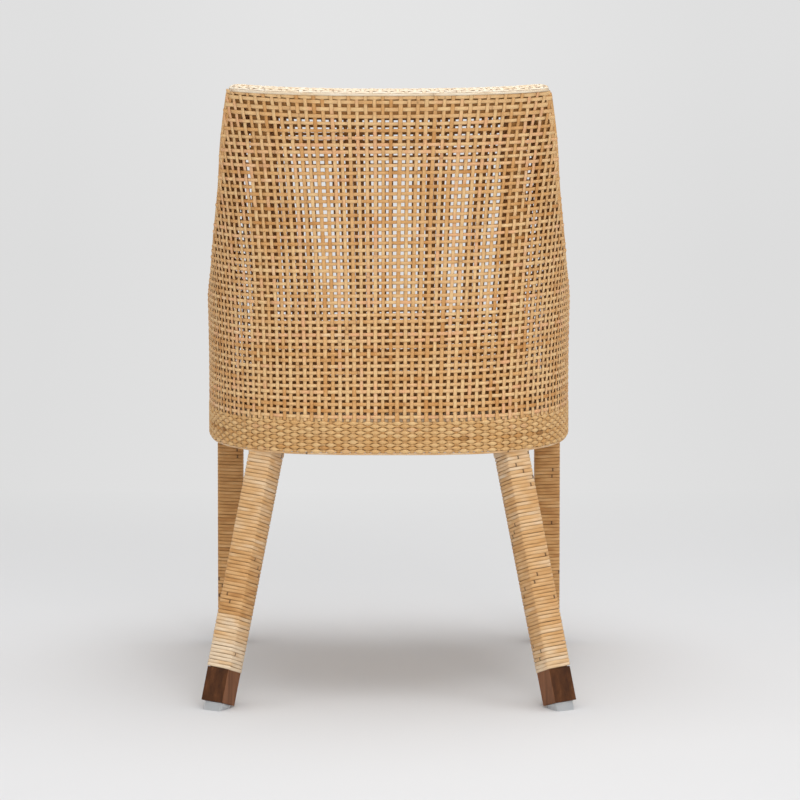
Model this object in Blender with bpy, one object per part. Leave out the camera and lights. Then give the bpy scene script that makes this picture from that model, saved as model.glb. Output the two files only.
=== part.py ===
"""Rattan side chair: a bent pole frame between two woven walls, four wrapped legs and a loose cushion.

The chair faces +Y, its back is toward -Y, and the origin lies on the floor under its middle.
Lengths are in metres. The woven walls follow one surface, which shell_point gives: a place on it has a
run (the distance round the plan from the middle of the back, right-hand side positive), a height, and a
depth inward from the outside face.
"""

import math

import bmesh
import bpy
import numpy as np
from mathutils import Matrix, Vector

# Plan of the woven shell, from its widest line
SHELL_HALF_WIDTH = 0.252
SHELL_BACK_REACH = 0.250
SHELL_FRONT_REACH = 0.202
SHELL_FRONT_RADIUS = 0.012
PLAN_POWER = 3.0
PLAN_SAMPLES = 4000

# Heights of the shell, the places of its top corners, and how it opens toward the top
BASE_BOTTOM = 0.343
CREST_HEIGHT = 0.8455
CREST_DIP = 0.0035
CREST_CORNER_AROUND = 0.2257
ARM_RISE = 0.0843
FLARE_RISE = 0.057
FLARE_SHARE = 0.165
FLARE_POWER = 2.7

# The side edge, as shares of its run forward and of its fall from the crest to the arm's front
SIDE_EDGE_SHARES = (
    (0.0, 0.0),
    (0.076, 0.223),
    (0.132, 0.412),
    (0.214, 0.603),
    (0.298, 0.746),
    (0.447, 0.855),
    (0.615, 0.926),
    (0.808, 0.973),
    (1.0, 1.0),
)
SIDE_EDGE_SPANS = 12
SMOOTH_ANGLE = math.radians(35)

# Clearances
SEAT_GAP = 0.0003
EDGE_GAP = 0.0015
NOTCH_GAP = 0.0005

# Woven walls and bindings
WALL_THICKNESS = 0.003
INNER_WALL_DEPTH = 0.026
BAND_THICKNESS = 0.0032
BAND_HEIGHT = 0.048
BINDING_HEIGHT = 0.003
RIM_DROP = 0.009
RIM_SKIN = 0.003
RIM_STEP = 0.026
WALL_STEP = 0.0205
WEAVE_STEP = 0.0205
WEAVE_TOP_SHARE = 0.4
WEAVE_RELIEF = 0.0015

# Bent frame
FRAME_DEPTH = 0.0042
RAIL_THICKNESS = 0.020
RAIL_TOP_INSET = 0.0055
RAIL_CHAMFER = 0.003
TOP_RAIL_HEIGHT = 0.033
SIDE_RAIL_HEIGHT = 0.022
RAIL_STEP = 0.0275
POST_WIDTH = 0.025
POST_THICKNESS = 0.019
POST_DEPTH = 0.0046
POST_CORNER_INSET = 0.0437
POST_ROWS = 8

# Seat frame and deck
SEAT_RAIL_LIFT = 0.004
SEAT_RAIL_HEIGHT = 0.0394
SEAT_RAIL_DEPTH = 0.005
SEAT_RAIL_THICKNESS = 0.0192
DECK_THICKNESS = 0.009
DECK_DEPTH = 0.0045
BLOCK_FOOT_LIFT = 0.003
BLOCK_HEIGHT = 0.0364
FRONT_BLOCK_REACH = 0.060
REAR_BLOCK_HALF_RUN = 0.052
REAR_BLOCK_BACK = 0.062

# Legs: cores, peel windings, caps and glides
LEG_TURN = math.radians(29)
LEG_CHAMFER = 0.003
REAR_LEG_AROUND = 0.2345
REAR_LEG_DEPTH = 0.0209
REAR_SPLAY_ACROSS = 0.0657
REAR_SPLAY_BACK = 0.0873
REAR_CORE_TOP = 0.0330
REAR_CORE_FOOT = 0.0308
FRONT_CORE_TOP = 0.0338
FRONT_CORE_FOOT = 0.0308
FRONT_LEG_INSET = 0.0054
CAP_SIZE = 0.0336
CAP_HEIGHT = 0.0465
CAP_CHAMFER = 0.001
CAP_LIFT = 0.0078
TENON_RADIUS = 0.008
TENON_LENGTH = 0.022
GLIDE_SIZE = 0.027
GLIDE_CHAMFER = 0.002
PEEL_THICKNESS = 0.0013
PEEL_GAP = 0.0006
PEEL_LOOPS = 16

# Fasteners
SCREW_SIDES = 10
SCREW_HOLE_GAP = 0.0003
BOLT_RADIUS = 0.003
REAR_BOLT_LENGTH = 0.040
FRONT_BOLT_LENGTH = 0.056
BOLT_HEAD_RADIUS = 0.0065
BOLT_HEAD_HEIGHT = 0.0035
DECK_SCREW_RADIUS = 0.002
DECK_SCREW_LENGTH = 0.032
DECK_SCREW_HEAD_RADIUS = 0.004
DECK_SCREW_HEAD_HEIGHT = 0.0025
DECK_SCREW_INSET = 0.012
REAR_DECK_SCREW_ASIDE = 0.040
FRONT_DECK_SCREW_ASIDE = 0.022
GLIDE_SCREW_RADIUS = 0.0015
GLIDE_SCREW_LENGTH = 0.016
GLIDE_SCREW_HEAD_RADIUS = 0.0035
GLIDE_SCREW_HEAD_HEIGHT = 0.002
GLIDE_SCREW_LIFT = 0.002
GLIDE_HOLE_OPENING = 0.005

# Cushion
CUSHION_DEPTH = 0.032
CUSHION_FRONT_INSET = 0.010
CUSHION_CORNER_RADIUS = 0.030
CUSHION_EDGE_HEIGHT = 0.052
CUSHION_CROWN = 0.024
CUSHION_CROWN_POWER = 2.4
CUSHION_CROWN_ROUNDING = 0.75
CUSHION_DRAW_IN = 0.004
CUSHION_STEP = 0.033
CUSHION_CORNER_STEPS = 3

# Levels of the seat frame, its deck and the arms
RAIL_BOTTOM = BASE_BOTTOM + SEAT_RAIL_LIFT
RAIL_TOP = RAIL_BOTTOM + SEAT_RAIL_HEIGHT
DECK_BOTTOM = RAIL_TOP + SEAT_GAP
DECK_TOP = DECK_BOTTOM + DECK_THICKNESS
WALL_FOOT = BASE_BOTTOM + BAND_HEIGHT + SEAT_GAP
BLOCK_BOTTOM = RAIL_BOTTOM + BLOCK_FOOT_LIFT
BOLT_LEVEL = BLOCK_BOTTOM + BLOCK_HEIGHT / 2
ARM_FRONT_HEIGHT = DECK_TOP + ARM_RISE
FLARE_START = BASE_BOTTOM + FLARE_RISE

# Colours: base colour, roughness and metallic value
MATERIALS = {
    "peel": ((0.68, 0.45, 0.22), 0.55, 0.0),
    "peel_shade": ((0.60, 0.38, 0.17), 0.6, 0.0),
    "binding": ((0.80, 0.60, 0.36), 0.5, 0.0),
    "pole": ((0.55, 0.36, 0.18), 0.6, 0.0),
    "beech": ((0.66, 0.50, 0.32), 0.65, 0.0),
    "plywood": ((0.62, 0.47, 0.30), 0.7, 0.0),
    "walnut": ((0.10, 0.045, 0.022), 0.4, 0.0),
    "clear_plastic": ((0.85, 0.88, 0.90), 0.15, 0.0),
    "steel": ((0.55, 0.55, 0.56), 0.35, 1.0),
    "linen": ((0.80, 0.74, 0.63), 0.9, 0.0),
}

SIDES = (("left", -1), ("right", 1))


def clear_scene():
    for piece in list(bpy.data.objects):
        bpy.data.objects.remove(piece, do_unlink=True)


def material(name):
    """The named finish, made on first use."""
    made = bpy.data.materials.get(name)
    if made is None:
        colour, roughness, metallic = MATERIALS[name]
        made = bpy.data.materials.new(name)
        made.use_nodes = True
        shader = made.node_tree.nodes["Principled BSDF"]
        shader.inputs["Base Color"].default_value = (*colour, 1)
        shader.inputs["Roughness"].default_value = roughness
        shader.inputs["Metallic"].default_value = metallic
    return made


def add_object(name, mesh_maker, finish=None, parent=None, location=(0, 0, 0), smooth=True):
    """Turns a bmesh into a placed object; one without a finish is a cutter."""
    bmesh.ops.recalc_face_normals(mesh_maker, faces=mesh_maker.faces)
    mesh = bpy.data.meshes.new(name)
    mesh_maker.to_mesh(mesh)
    mesh_maker.free()
    if smooth:
        mesh.shade_smooth()
        mesh.set_sharp_from_angle(angle=SMOOTH_ANGLE)
    piece = bpy.data.objects.new(name, mesh)
    bpy.context.scene.collection.objects.link(piece)
    piece.location = location
    piece.parent = parent
    if finish:
        mesh.materials.append(material(finish))
    else:
        piece.hide_render = True
        piece.display_type = "WIRE"
    return piece


def add_empty(name, location=(0, 0, 0), parent=None, turn=None):
    empty = bpy.data.objects.new(name, None)
    bpy.context.scene.collection.objects.link(empty)
    empty.location = location
    empty.parent = parent
    if turn is not None:
        empty.rotation_euler = turn.to_euler()
    return empty


def combine(piece, other, operation="DIFFERENCE"):
    """Cuts the other object out of the piece, or joins it on."""
    boolean = piece.modifiers.new(other.name, "BOOLEAN")
    boolean.operation = operation
    boolean.solver = "EXACT"
    boolean.object = other


def plan_table():
    """Run round a quarter of the back, against the angle of the superellipse that shapes it."""
    angles = np.linspace(0, math.pi / 2, PLAN_SAMPLES)
    across = SHELL_HALF_WIDTH * np.sin(angles) ** (2 / PLAN_POWER)
    back = SHELL_BACK_REACH * np.cos(angles) ** (2 / PLAN_POWER)
    steps = np.hypot(np.diff(across), np.diff(back))
    return np.concatenate([[0], np.cumsum(steps)]), angles


PLAN_RUNS, PLAN_ANGLES = plan_table()
BACK_RUN = float(PLAN_RUNS[-1])
SIDE_RUN = BACK_RUN + SHELL_FRONT_REACH - SHELL_FRONT_RADIUS
CORNER_RUN = SIDE_RUN + SHELL_FRONT_RADIUS * math.pi / 2
FRONT_RUN = CORNER_RUN + SHELL_HALF_WIDTH - SHELL_FRONT_RADIUS
CREST_HALF_RUN = BACK_RUN - CREST_CORNER_AROUND


def flare(height):
    """How much wider the shell is at a height than at the seat."""
    climb = max(0.0, (height - FLARE_START) / (CREST_HEIGHT - FLARE_START))
    return 1 + FLARE_SHARE * climb**FLARE_POWER


def shell_point(run, height, depth):
    """A place on the shell, measured from its widest line."""
    side = math.copysign(1, run)
    distance = abs(run)
    half = SHELL_HALF_WIDTH * flare(height) - depth
    if distance <= BACK_RUN:
        angle = float(np.interp(distance, PLAN_RUNS, PLAN_ANGLES))
        back = SHELL_BACK_REACH * flare(height) - depth
        across = half * math.sin(angle) ** (2 / PLAN_POWER)
        return Vector((side * across, -back * max(0.0, math.cos(angle)) ** (2 / PLAN_POWER), height))
    if distance <= SIDE_RUN:
        return Vector((side * half, distance - BACK_RUN, height))
    radius = SHELL_FRONT_RADIUS - depth
    if distance <= CORNER_RUN:
        angle = (distance - SIDE_RUN) / SHELL_FRONT_RADIUS
        across = half - radius + radius * math.cos(angle)
        return Vector((side * across, SIDE_RUN - BACK_RUN + radius * math.sin(angle), height))
    share = (FRONT_RUN - distance) / (FRONT_RUN - CORNER_RUN)
    return Vector((side * share * (half - radius), SHELL_FRONT_REACH - depth, height))


def run_at(across, height, depth):
    """The run at which the back's surface stands this far from the middle."""
    share = across / (SHELL_HALF_WIDTH * flare(height) - depth)
    return float(np.interp(math.asin(share ** (PLAN_POWER / 2)), PLAN_ANGLES, PLAN_RUNS))


def smooth_curve(points, spans):
    """A Catmull-Rom curve through the points."""
    ends = [2 * points[0] - points[1], *points, 2 * points[-1] - points[-2]]
    curve = []
    for before, start, end, after in zip(ends, ends[1:], ends[2:], ends[3:]):
        for step in range(spans):
            share = step / spans
            bend = 2 * before - 5 * start + 4 * end - after
            swing = 3 * start - before - 3 * end + after
            place = start + share / 2 * ((end - before) + share * (bend + share * swing))
            curve.append(place)
    return [*curve, points[-1]]


def side_edge():
    """The side's top edge, from the crest's corner to the arm's front, as runs and heights."""
    reach = SIDE_RUN - CREST_HALF_RUN
    fall = CREST_HEIGHT - ARM_FRONT_HEIGHT
    knots = [
        Vector((CREST_HALF_RUN + forward * reach, CREST_HEIGHT - drop * fall))
        for forward, drop in SIDE_EDGE_SHARES
    ]
    return smooth_curve(knots, SIDE_EDGE_SPANS)


SIDE_EDGE = side_edge()


def crest_height(run):
    return CREST_HEIGHT - CREST_DIP * (1 - (run / CREST_HALF_RUN) ** 2)


def resample(points, step):
    """Points at even distances along a curve, its two ends among them."""
    lengths = np.concatenate([[0], np.cumsum([(b - a).length for a, b in zip(points, points[1:])])])
    count = max(1, round(float(lengths[-1]) / step))
    places = np.linspace(0, lengths[-1], count + 1)
    columns = [np.interp(places, lengths, [p[axis] for p in points]) for axis in range(2)]
    return [Vector(pair) for pair in zip(*columns)]


def crest_path(step):
    """The crest's edge from the middle of the back to its right-hand corner."""
    count = max(1, round(CREST_HALF_RUN / step))
    runs = [CREST_HALF_RUN * index / count for index in range(count + 1)]
    return [Vector((run, crest_height(run))) for run in runs]


def mirrored(path):
    """A half path and its mirror image, from left to right."""
    return [Vector((-p.x, p.y)) for p in reversed(path[1:])] + list(path)


def mitres(path):
    """At each point of a path, the way inward from the edge, lengthened at a corner."""
    normals = []
    for start, end in zip(path, path[1:]):
        along = (end - start).normalized()
        normals.append(Vector((along.y, -along.x)))
    joined = [normals[0]]
    for first, second in zip(normals, normals[1:]):
        joined.append((first + second) / (1 + first.dot(second)))
    return [*joined, normals[-1]]


def edge_height(run, inset):
    """Height of the line that lies this far inside the shell's top edge."""
    distance = abs(run)
    inward = mitres(SIDE_EDGE)
    side = [point + normal * inset for point, normal in zip(SIDE_EDGE, inward)]
    start = side[0] - (side[1] - side[0]).normalized() * CREST_HEIGHT
    side = [start, *side]
    side_height = float(np.interp(distance, [p.x for p in side], [p.y for p in side]))
    return min(crest_height(min(distance, CREST_HALF_RUN)) - inset, side_height)


def corner_mitre():
    """The lengthened way inward at the crest's right-hand corner."""
    return mitres([crest_path(RAIL_STEP)[-2], *SIDE_EDGE[:2]])[1]


def grid_faces(maker, rows, closed_across, closed_along):
    """Joins rows of vertices with four-sided faces."""
    pairs = list(zip(rows, rows[1:]))
    if closed_along:
        pairs.append((rows[-1], rows[0]))
    for first, second in pairs:
        count = len(first)
        for index in range(count if closed_across else count - 1):
            after = (index + 1) % count
            maker.faces.new((first[index], first[after], second[after], second[index]))


def wall_runs(inset):
    """Runs of a wall's columns, with a cell across the middle of the back, from left arm to right arm."""
    corner = CREST_HALF_RUN + corner_mitre().x * inset
    cells = max(1, round(corner / WALL_STEP - 0.5))
    runs = [corner * (2 * index + 1) / (2 * cells + 1) for index in range(cells + 1)]
    for start, stop in ((corner, BACK_RUN), (BACK_RUN, SIDE_RUN - inset)):
        count = max(1, round((stop - start) / WALL_STEP))
        runs += [start + (stop - start) * (index + 1) / count for index in range(count)]
    return [-run for run in reversed(runs)] + runs


def wall_levels(bottom, top):
    """Heights of a wall's rows, the last of them on its top edge."""
    levels = [bottom]
    while WALL_FOOT + WEAVE_STEP * len(levels) < top - WEAVE_STEP * WEAVE_TOP_SHARE:
        levels.append(WALL_FOOT + WEAVE_STEP * len(levels))
    return [*levels, top]


def opens(run, level):
    """Whether a cell of the walls has nothing behind it: no rim, pole, post or cushion."""
    half = WEAVE_STEP / 2
    rail_height = TOP_RAIL_HEIGHT if abs(run) < CREST_HALF_RUN else SIDE_RAIL_HEIGHT
    rail_bottom = edge_height(abs(run) + half, RAIL_TOP_INSET + rail_height)
    cushion_top = DECK_TOP + SEAT_GAP + CUSHION_EDGE_HEIGHT + CUSHION_CROWN
    across = abs(shell_point(run, level, POST_DEPTH + POST_THICKNESS / 2).x)
    beside_post = abs(across - post_across()) > POST_WIDTH / 2 + half
    return beside_post and cushion_top < level - half and level + half < rail_bottom


def wall_side(maker, runs, columns, depth, sunk):
    """Corners of one side of a wall, which stand proud and sink by turns where it is woven."""
    side = []
    for place, (run, levels) in enumerate(zip(runs, columns)):
        column = []
        for row, level in enumerate(levels):
            edge = row in (0, len(levels) - 1) or place in (0, len(runs) - 1)
            sinks = not edge and (place + row) % 2 == 1
            column.append(maker.verts.new(shell_point(run, level, depth + (sunk if sinks else 0))))
        side.append(column)
    return side


def cell_corners(left, right, row):
    """The four corners of a cell between two columns, of which a short one repeats its last."""
    low, high = (min(row, len(left) - 1), min(row, len(right) - 1))
    above, beyond = (min(row + 1, len(left) - 1), min(row + 1, len(right) - 1))
    return left[low], right[high], right[beyond], left[above]


def wall(name, finish, parent, bottom, woven_depth, plain_depth):
    """A woven wall as one thin shell: a coarse plain weave on the side that shows, and a grid of openings."""
    inset = RIM_DROP + EDGE_GAP
    runs = wall_runs(inset)
    columns = [wall_levels(bottom, edge_height(run, inset)) for run in runs]
    maker = bmesh.new()
    sunk = math.copysign(WEAVE_RELIEF, plain_depth - woven_depth)
    woven = wall_side(maker, runs, columns, woven_depth, sunk)
    plain = wall_side(maker, runs, columns, plain_depth, 0)
    middle = len(runs) // 2 - 1
    for place in range(len(runs) - 1):
        run = (runs[place] + runs[place + 1]) / 2
        for row in range(max(len(columns[place]), len(columns[place + 1])) - 1):
            a, b, c, d = cell_corners(woven[place], woven[place + 1], row)
            back = cell_corners(plain[place], plain[place + 1], row)
            level = WALL_FOOT + WEAVE_STEP * (row + 0.5)
            if (place - middle) % 2 == 0 and row % 2 == 1 and opens(run, level):
                rim = ((a, b), (b, c), (c, d), (d, a))
                for (start, stop), (far, near) in zip(rim, zip(back, back[1:] + back[:1])):
                    maker.faces.new((start, stop, near, far))
                continue
            proud = (place + row) % 2 == 0
            halves = ((a, b, d), (b, c, d)) if proud else ((a, b, c), (a, c, d))
            for corners in (*halves, (back[0], back[1], back[2]), (back[0], back[2], back[3])):
                if len(set(corners)) == len(corners):
                    maker.faces.new(corners)
    for edge in (0, -1):
        seam = [(front[edge], back[edge]) for front, back in zip(woven, plain)]
        grid_faces(maker, seam, False, False)
        maker.faces.new(woven[edge] + plain[edge][::-1])
    return add_object(name, maker, finish, parent)


def ring_runs():
    """Runs all the way round the base, close together in the front corners."""
    pieces = (
        (0.0, BACK_RUN, WALL_STEP),
        (BACK_RUN, SIDE_RUN, SHELL_FRONT_REACH / 2),
        (SIDE_RUN, CORNER_RUN, SHELL_FRONT_RADIUS / 2),
        (CORNER_RUN, FRONT_RUN, SHELL_HALF_WIDTH),
    )
    runs = [0.0]
    for start, stop, step in pieces:
        count = max(1, round((stop - start) / step))
        runs += [start + (stop - start) * (index + 1) / count for index in range(count)]
    return [-run for run in reversed(runs[1:-1])] + runs


def base_ring(name, finish, parent, bottom, height):
    """A closed band round the bottom of the shell."""
    maker = bmesh.new()
    outer, inner, top = 0.0, BAND_THICKNESS, bottom + height
    corners = ((outer, bottom), (outer, top), (inner, top), (inner, bottom))
    rows = []
    for run in ring_runs():
        rows.append([maker.verts.new(shell_point(run, level, depth)) for depth, level in corners])
    grid_faces(maker, rows, True, True)
    return add_object(name, maker, finish, parent)


def sweep(name, finish, parent, path, normals, section):
    """Carries a section of depths and insets along a path on the shell's surface."""
    maker = bmesh.new()
    rows = []
    for place, inward in zip(path, normals):
        ring = []
        for depth, inset in section:
            spot = place + inward * inset
            ring.append(maker.verts.new(shell_point(spot.x, spot.y, depth)))
        rows.append(ring)
    grid_faces(maker, rows, True, False)
    half = len(section) // 2
    for ring in (rows[0], rows[-1]):
        for index in range(half - 1):
            opposite = len(ring) - 1 - index
            maker.faces.new((ring[index], ring[index + 1], ring[opposite - 1], ring[opposite]))
    return add_object(name, maker, finish, parent)


def rim_section():
    """An arch over the wall's top: its outside, then its underside back again."""
    width = INNER_WALL_DEPTH + WALL_THICKNESS
    arch_shares = ((0.0, 1.0), (0.05, 0.32), (0.27, 0.0), (0.73, 0.0), (0.95, 0.32), (1.0, 1.0))
    outside = [(width * across, RIM_DROP * down) for across, down in arch_shares]
    clear = width - 2 * RIM_SKIN
    underside = [
        (RIM_SKIN + clear * across, RIM_SKIN + (RIM_DROP - RIM_SKIN) * down)
        for across, down in reversed(arch_shares)
    ]
    return outside + underside


def rim_path():
    """The whole rim: up the left front edge, over the back, and down the right front edge."""
    band_top = BASE_BOTTOM + BAND_HEIGHT + SEAT_GAP
    crest = crest_path(RIM_STEP)
    side = resample(SIDE_EDGE, RIM_STEP)
    front_count = max(1, round((ARM_FRONT_HEIGHT - band_top) / RIM_STEP))
    fall = (ARM_FRONT_HEIGHT - band_top) / front_count
    front = [Vector((SIDE_RUN, ARM_FRONT_HEIGHT - fall * (index + 1))) for index in range(front_count)]
    return mirrored(crest + side[1:] + front)


def rail_section(height):
    """A pole squared up between the walls, with its upper edges taken off under the rim."""
    outer, inner = FRAME_DEPTH, FRAME_DEPTH + RAIL_THICKNESS
    top, bottom = RAIL_TOP_INSET, RAIL_TOP_INSET + height
    return [
        (outer, bottom),
        (outer, top + RAIL_CHAMFER),
        (outer + RAIL_CHAMFER, top),
        (inner - RAIL_CHAMFER, top),
        (inner, top + RAIL_CHAMFER),
        (inner, bottom),
    ]


def top_rail(parent):
    """The bent crest pole, mitred at both corners where the side poles meet it."""
    crest = crest_path(RAIL_STEP)
    inward = corner_mitre()
    along = (crest[-1] - crest[-2]).normalized()
    crest[-1] = crest[-1] - along * SEAT_GAP
    path = mirrored(crest)
    normals = mitres(path)
    normals[-1] = inward
    normals[0] = Vector((-inward.x, inward.y))
    sweep("top_rail", "pole", parent, path, normals, rail_section(TOP_RAIL_HEIGHT))


def side_rail(parent, label, side):
    """A bent side pole from the crest's corner, down the arm, and upright at the front of the seat."""
    curve = resample(SIDE_EDGE, RAIL_STEP)
    along = (curve[1] - curve[0]).normalized()
    half_fall = (ARM_FRONT_HEIGHT - DECK_BOTTOM) / 2
    front = [Vector((SIDE_RUN, DECK_BOTTOM + half_fall)), Vector((SIDE_RUN, DECK_BOTTOM))]
    path = [curve[0] + along * SEAT_GAP, *curve[1:-2], curve[-1], *front]
    normals = mitres(path)
    normals[0] = corner_mitre()
    path = [Vector((side * p.x, p.y)) for p in path]
    normals = [Vector((side * n.x, n.y)) for n in normals]
    sweep(f"side_rail_{label}", "pole", parent, path, normals, rail_section(SIDE_RAIL_HEIGHT))


def post_across():
    """How far from the middle the back posts stand."""
    middle = POST_DEPTH + POST_THICKNESS / 2
    return shell_point(CREST_HALF_RUN - POST_CORNER_INSET, CREST_HEIGHT, middle).x


def post_rows(side, spare):
    """Rings of a back post, or of its notch when it has spare room round it."""
    bottom = DECK_BOTTOM - (spare and DECK_THICKNESS)
    middle = POST_DEPTH + POST_THICKNESS / 2
    across = post_across()
    top = crest_height(CREST_HALF_RUN - POST_CORNER_INSET) - RAIL_TOP_INSET - TOP_RAIL_HEIGHT - 2 * SEAT_GAP
    half = POST_WIDTH / 2 + spare
    rows = []
    for row in range(POST_ROWS + 1):
        height = bottom + (top - bottom) * row / POST_ROWS
        run = run_at(across, height, middle)
        near = POST_DEPTH - (spare and POST_DEPTH)
        far = POST_DEPTH + POST_THICKNESS + spare
        corners = ((-half, near), (half, near), (half, far), (-half, far))
        rows.append([shell_point(side * (run + shift), height, depth) for shift, depth in corners])
    return rows


def loft(name, rows, finish=None, parent=None, location=(0, 0, 0)):
    """A closed solid through rings of four or more corners."""
    maker = bmesh.new()
    rings = [[maker.verts.new(corner) for corner in ring] for ring in rows]
    grid_faces(maker, rings, True, False)
    maker.faces.new(rings[0])
    maker.faces.new(list(reversed(rings[-1])))
    return add_object(name, maker, finish, parent, location)


def octagon(half, chamfer):
    """The corners of a square with its corners taken off, counter-clockwise."""
    inner = half - chamfer
    return (
        (half, -inner),
        (half, inner),
        (inner, half),
        (-inner, half),
        (-half, inner),
        (-half, -inner),
        (-inner, -half),
        (inner, -half),
    )


def prism(name, stations, chamfer, finish=None, parent=None):
    """A square post with chamfered corners, through its (height, half width) stations."""
    rows = [[(x, y, level) for x, y in octagon(half, chamfer)] for level, half in stations]
    return loft(name, rows, finish, parent)


def trim(piece, place, normal):
    """Cuts off what lies beyond a plane, given in the piece's own space, and closes the cut."""
    maker = bmesh.new()
    maker.from_mesh(piece.data)
    everything = maker.verts[:] + maker.edges[:] + maker.faces[:]
    cut = bmesh.ops.bisect_plane(
        maker, geom=everything, plane_co=place, plane_no=normal, clear_outer=True
    )["geom_cut"]
    edges = [item for item in cut if isinstance(item, bmesh.types.BMEdge)]
    bmesh.ops.edgeloop_fill(maker, edges=edges)
    bmesh.ops.recalc_face_normals(maker, faces=maker.faces)
    maker.to_mesh(piece.data)
    maker.free()


def turned(name, profile, finish=None, parent=None, turn=None, location=(0, 0, 0)):
    """A round solid about its own Z, from its (radius, height) profile, top first."""
    maker = bmesh.new()
    start = [maker.verts.new((radius, 0, height)) for radius, height in profile]
    edges = [maker.edges.new(pair) for pair in zip(start, start[1:])]
    bmesh.ops.spin(
        maker,
        geom=start + edges,
        cent=(0, 0, 0),
        axis=(0, 0, 1),
        angle=math.tau,
        steps=SCREW_SIDES,
        use_merge=True,
    )
    bmesh.ops.remove_doubles(maker, verts=maker.verts, dist=SEAT_GAP / SCREW_SIDES)
    piece = add_object(name, maker, finish, parent, location)
    if turn is not None:
        piece.rotation_euler = turn.to_euler()
    return piece


def fastener(name, parent, turn, location, sizes, opening, bored):
    """A screw whose head's top is at its origin, with its clearance hole, open past the head, in others."""
    radius, length, head_radius, head_height = sizes
    profile = [(0, 0), (head_radius, 0), (head_radius, -head_height), (radius, -head_height)]
    profile += [(radius, -length), (0, -length)]
    screw = turned(name, profile, "steel", parent, turn, location)
    gap = SCREW_HOLE_GAP
    room = [(0, opening), (head_radius + gap, opening)]
    room += [(head_radius + gap, -head_height - gap), (radius + gap, -head_height - gap)]
    room += [(radius + gap, -length - gap), (0, -length - gap)]
    hole = turned(f"{name}_hole", room, None, parent, turn, location)
    for piece in bored:
        combine(piece, hole)
    return screw


class Leg:
    """One leg's axis and frame: its foot, its top, its turn about the upright and its sizes."""

    def __init__(self, label, side, foot, top, turn, core_foot, core_top):
        self.label = label
        self.side = side
        self.foot = Vector(foot)
        self.top = Vector(top)
        up = (self.top - self.foot).normalized()
        facing = Vector((math.cos(turn), math.sin(turn), 0))
        across = (facing - up * facing.dot(up)).normalized()
        back = up.cross(across)
        self.frame = Matrix((across, back, up)).transposed()
        self.across = across
        self.up = up
        self.core_foot = core_foot
        self.core_top = core_top

    def along(self, height):
        """Distance up the axis to a height over the floor."""
        return (height - self.foot.z) / self.up.z

    def half(self, distance):
        """Half width of the core at a distance up the axis."""
        share = distance / self.along(self.top.z)
        return (self.core_foot + (self.core_top - self.core_foot) * share) / 2

    def centre(self, height):
        """The axis's place at a height over the floor."""
        return self.foot + self.up * self.along(height)

    def lean(self, half):
        """How far up the axis the high side of a square cut reaches past its middle."""
        return max((self.frame @ Vector((x, y, 0))).z for x, y in octagon(half, 0)) / self.up.z

    def local_plane(self, height):
        """A level plane's point and upward normal, in the leg's own frame."""
        return (0, 0, self.along(height)), self.frame.transposed() @ Vector((0, 0, 1))


def make_legs():
    """The four legs' places, in the space whose middle is the shell's widest line."""
    legs = []
    for label, side in SIDES:
        top = shell_point(side * (BACK_RUN - REAR_LEG_AROUND), BASE_BOTTOM, REAR_LEG_DEPTH)
        foot = (top.x + side * REAR_SPLAY_ACROSS, top.y - REAR_SPLAY_BACK, CAP_LIFT)
        legs.append(Leg(f"rear_{label}", side, foot, top, side * LEG_TURN, REAR_CORE_FOOT, REAR_CORE_TOP))
    for label, side in SIDES:
        outer = SHELL_HALF_WIDTH - FRONT_LEG_INSET
        front = SHELL_FRONT_REACH - FRONT_LEG_INSET
        foot = (side * (outer - FRONT_CORE_FOOT / 2), front - FRONT_CORE_TOP / 2, CAP_LIFT)
        top = (side * (outer - FRONT_CORE_TOP / 2), front - FRONT_CORE_TOP / 2, BASE_BOTTOM)
        legs.append(Leg(f"front_{label}", side, foot, top, 0, FRONT_CORE_FOOT, FRONT_CORE_TOP))
    return legs


def rear_reach(legs):
    """How far back the feet stand from the shell's widest line."""
    half = CAP_SIZE / 2
    return max(
        -(leg.foot + leg.frame @ Vector((x, y, level))).y
        for leg in legs
        for x, y in octagon(half, CAP_CHAMFER)
        for level in (CAP_CHAMFER, CAP_HEIGHT)
    )


def leg_core(leg, parent):
    """The wooden core with a round tenon at its foot, cut level under the seat deck."""
    start = CAP_HEIGHT + SEAT_GAP
    spare = leg.along(RAIL_TOP) + leg.core_top
    stations = ((start, leg.half(start)), (spare, leg.half(spare)))
    core = prism(f"{leg.label}_leg", stations, LEG_CHAMFER, "beech", parent)
    trim(core, *leg.local_plane(RAIL_TOP))
    overlap = TENON_LENGTH + TENON_RADIUS
    profile = [(0, overlap), (TENON_RADIUS, overlap), (TENON_RADIUS, 0), (0, 0)]
    tenon = turned(f"{leg.label}_tenon", profile, None, parent)
    tenon.location = (0, 0, start - TENON_LENGTH)
    combine(core, tenon, "UNION")
    return core


def leg_cap(leg, parent):
    """The hardwood cap on the foot, bored for the tenon."""
    half = CAP_SIZE / 2
    stations = (
        (0, half - CAP_CHAMFER),
        (CAP_CHAMFER, half),
        (CAP_HEIGHT - CAP_CHAMFER, half),
        (CAP_HEIGHT, half - CAP_CHAMFER),
    )
    cap = prism(f"{leg.label}_foot_cap", stations, CAP_CHAMFER, "walnut", parent)
    radius = TENON_RADIUS + SCREW_HOLE_GAP
    depth = TENON_LENGTH + SCREW_HOLE_GAP
    profile = [(0, depth + CAP_HEIGHT), (radius, depth + CAP_HEIGHT), (radius, 0), (0, 0)]
    socket = turned(f"{leg.label}_socket", profile, None, parent)
    socket.location = (0, 0, CAP_HEIGHT - depth)
    combine(cap, socket)
    return cap


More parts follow.
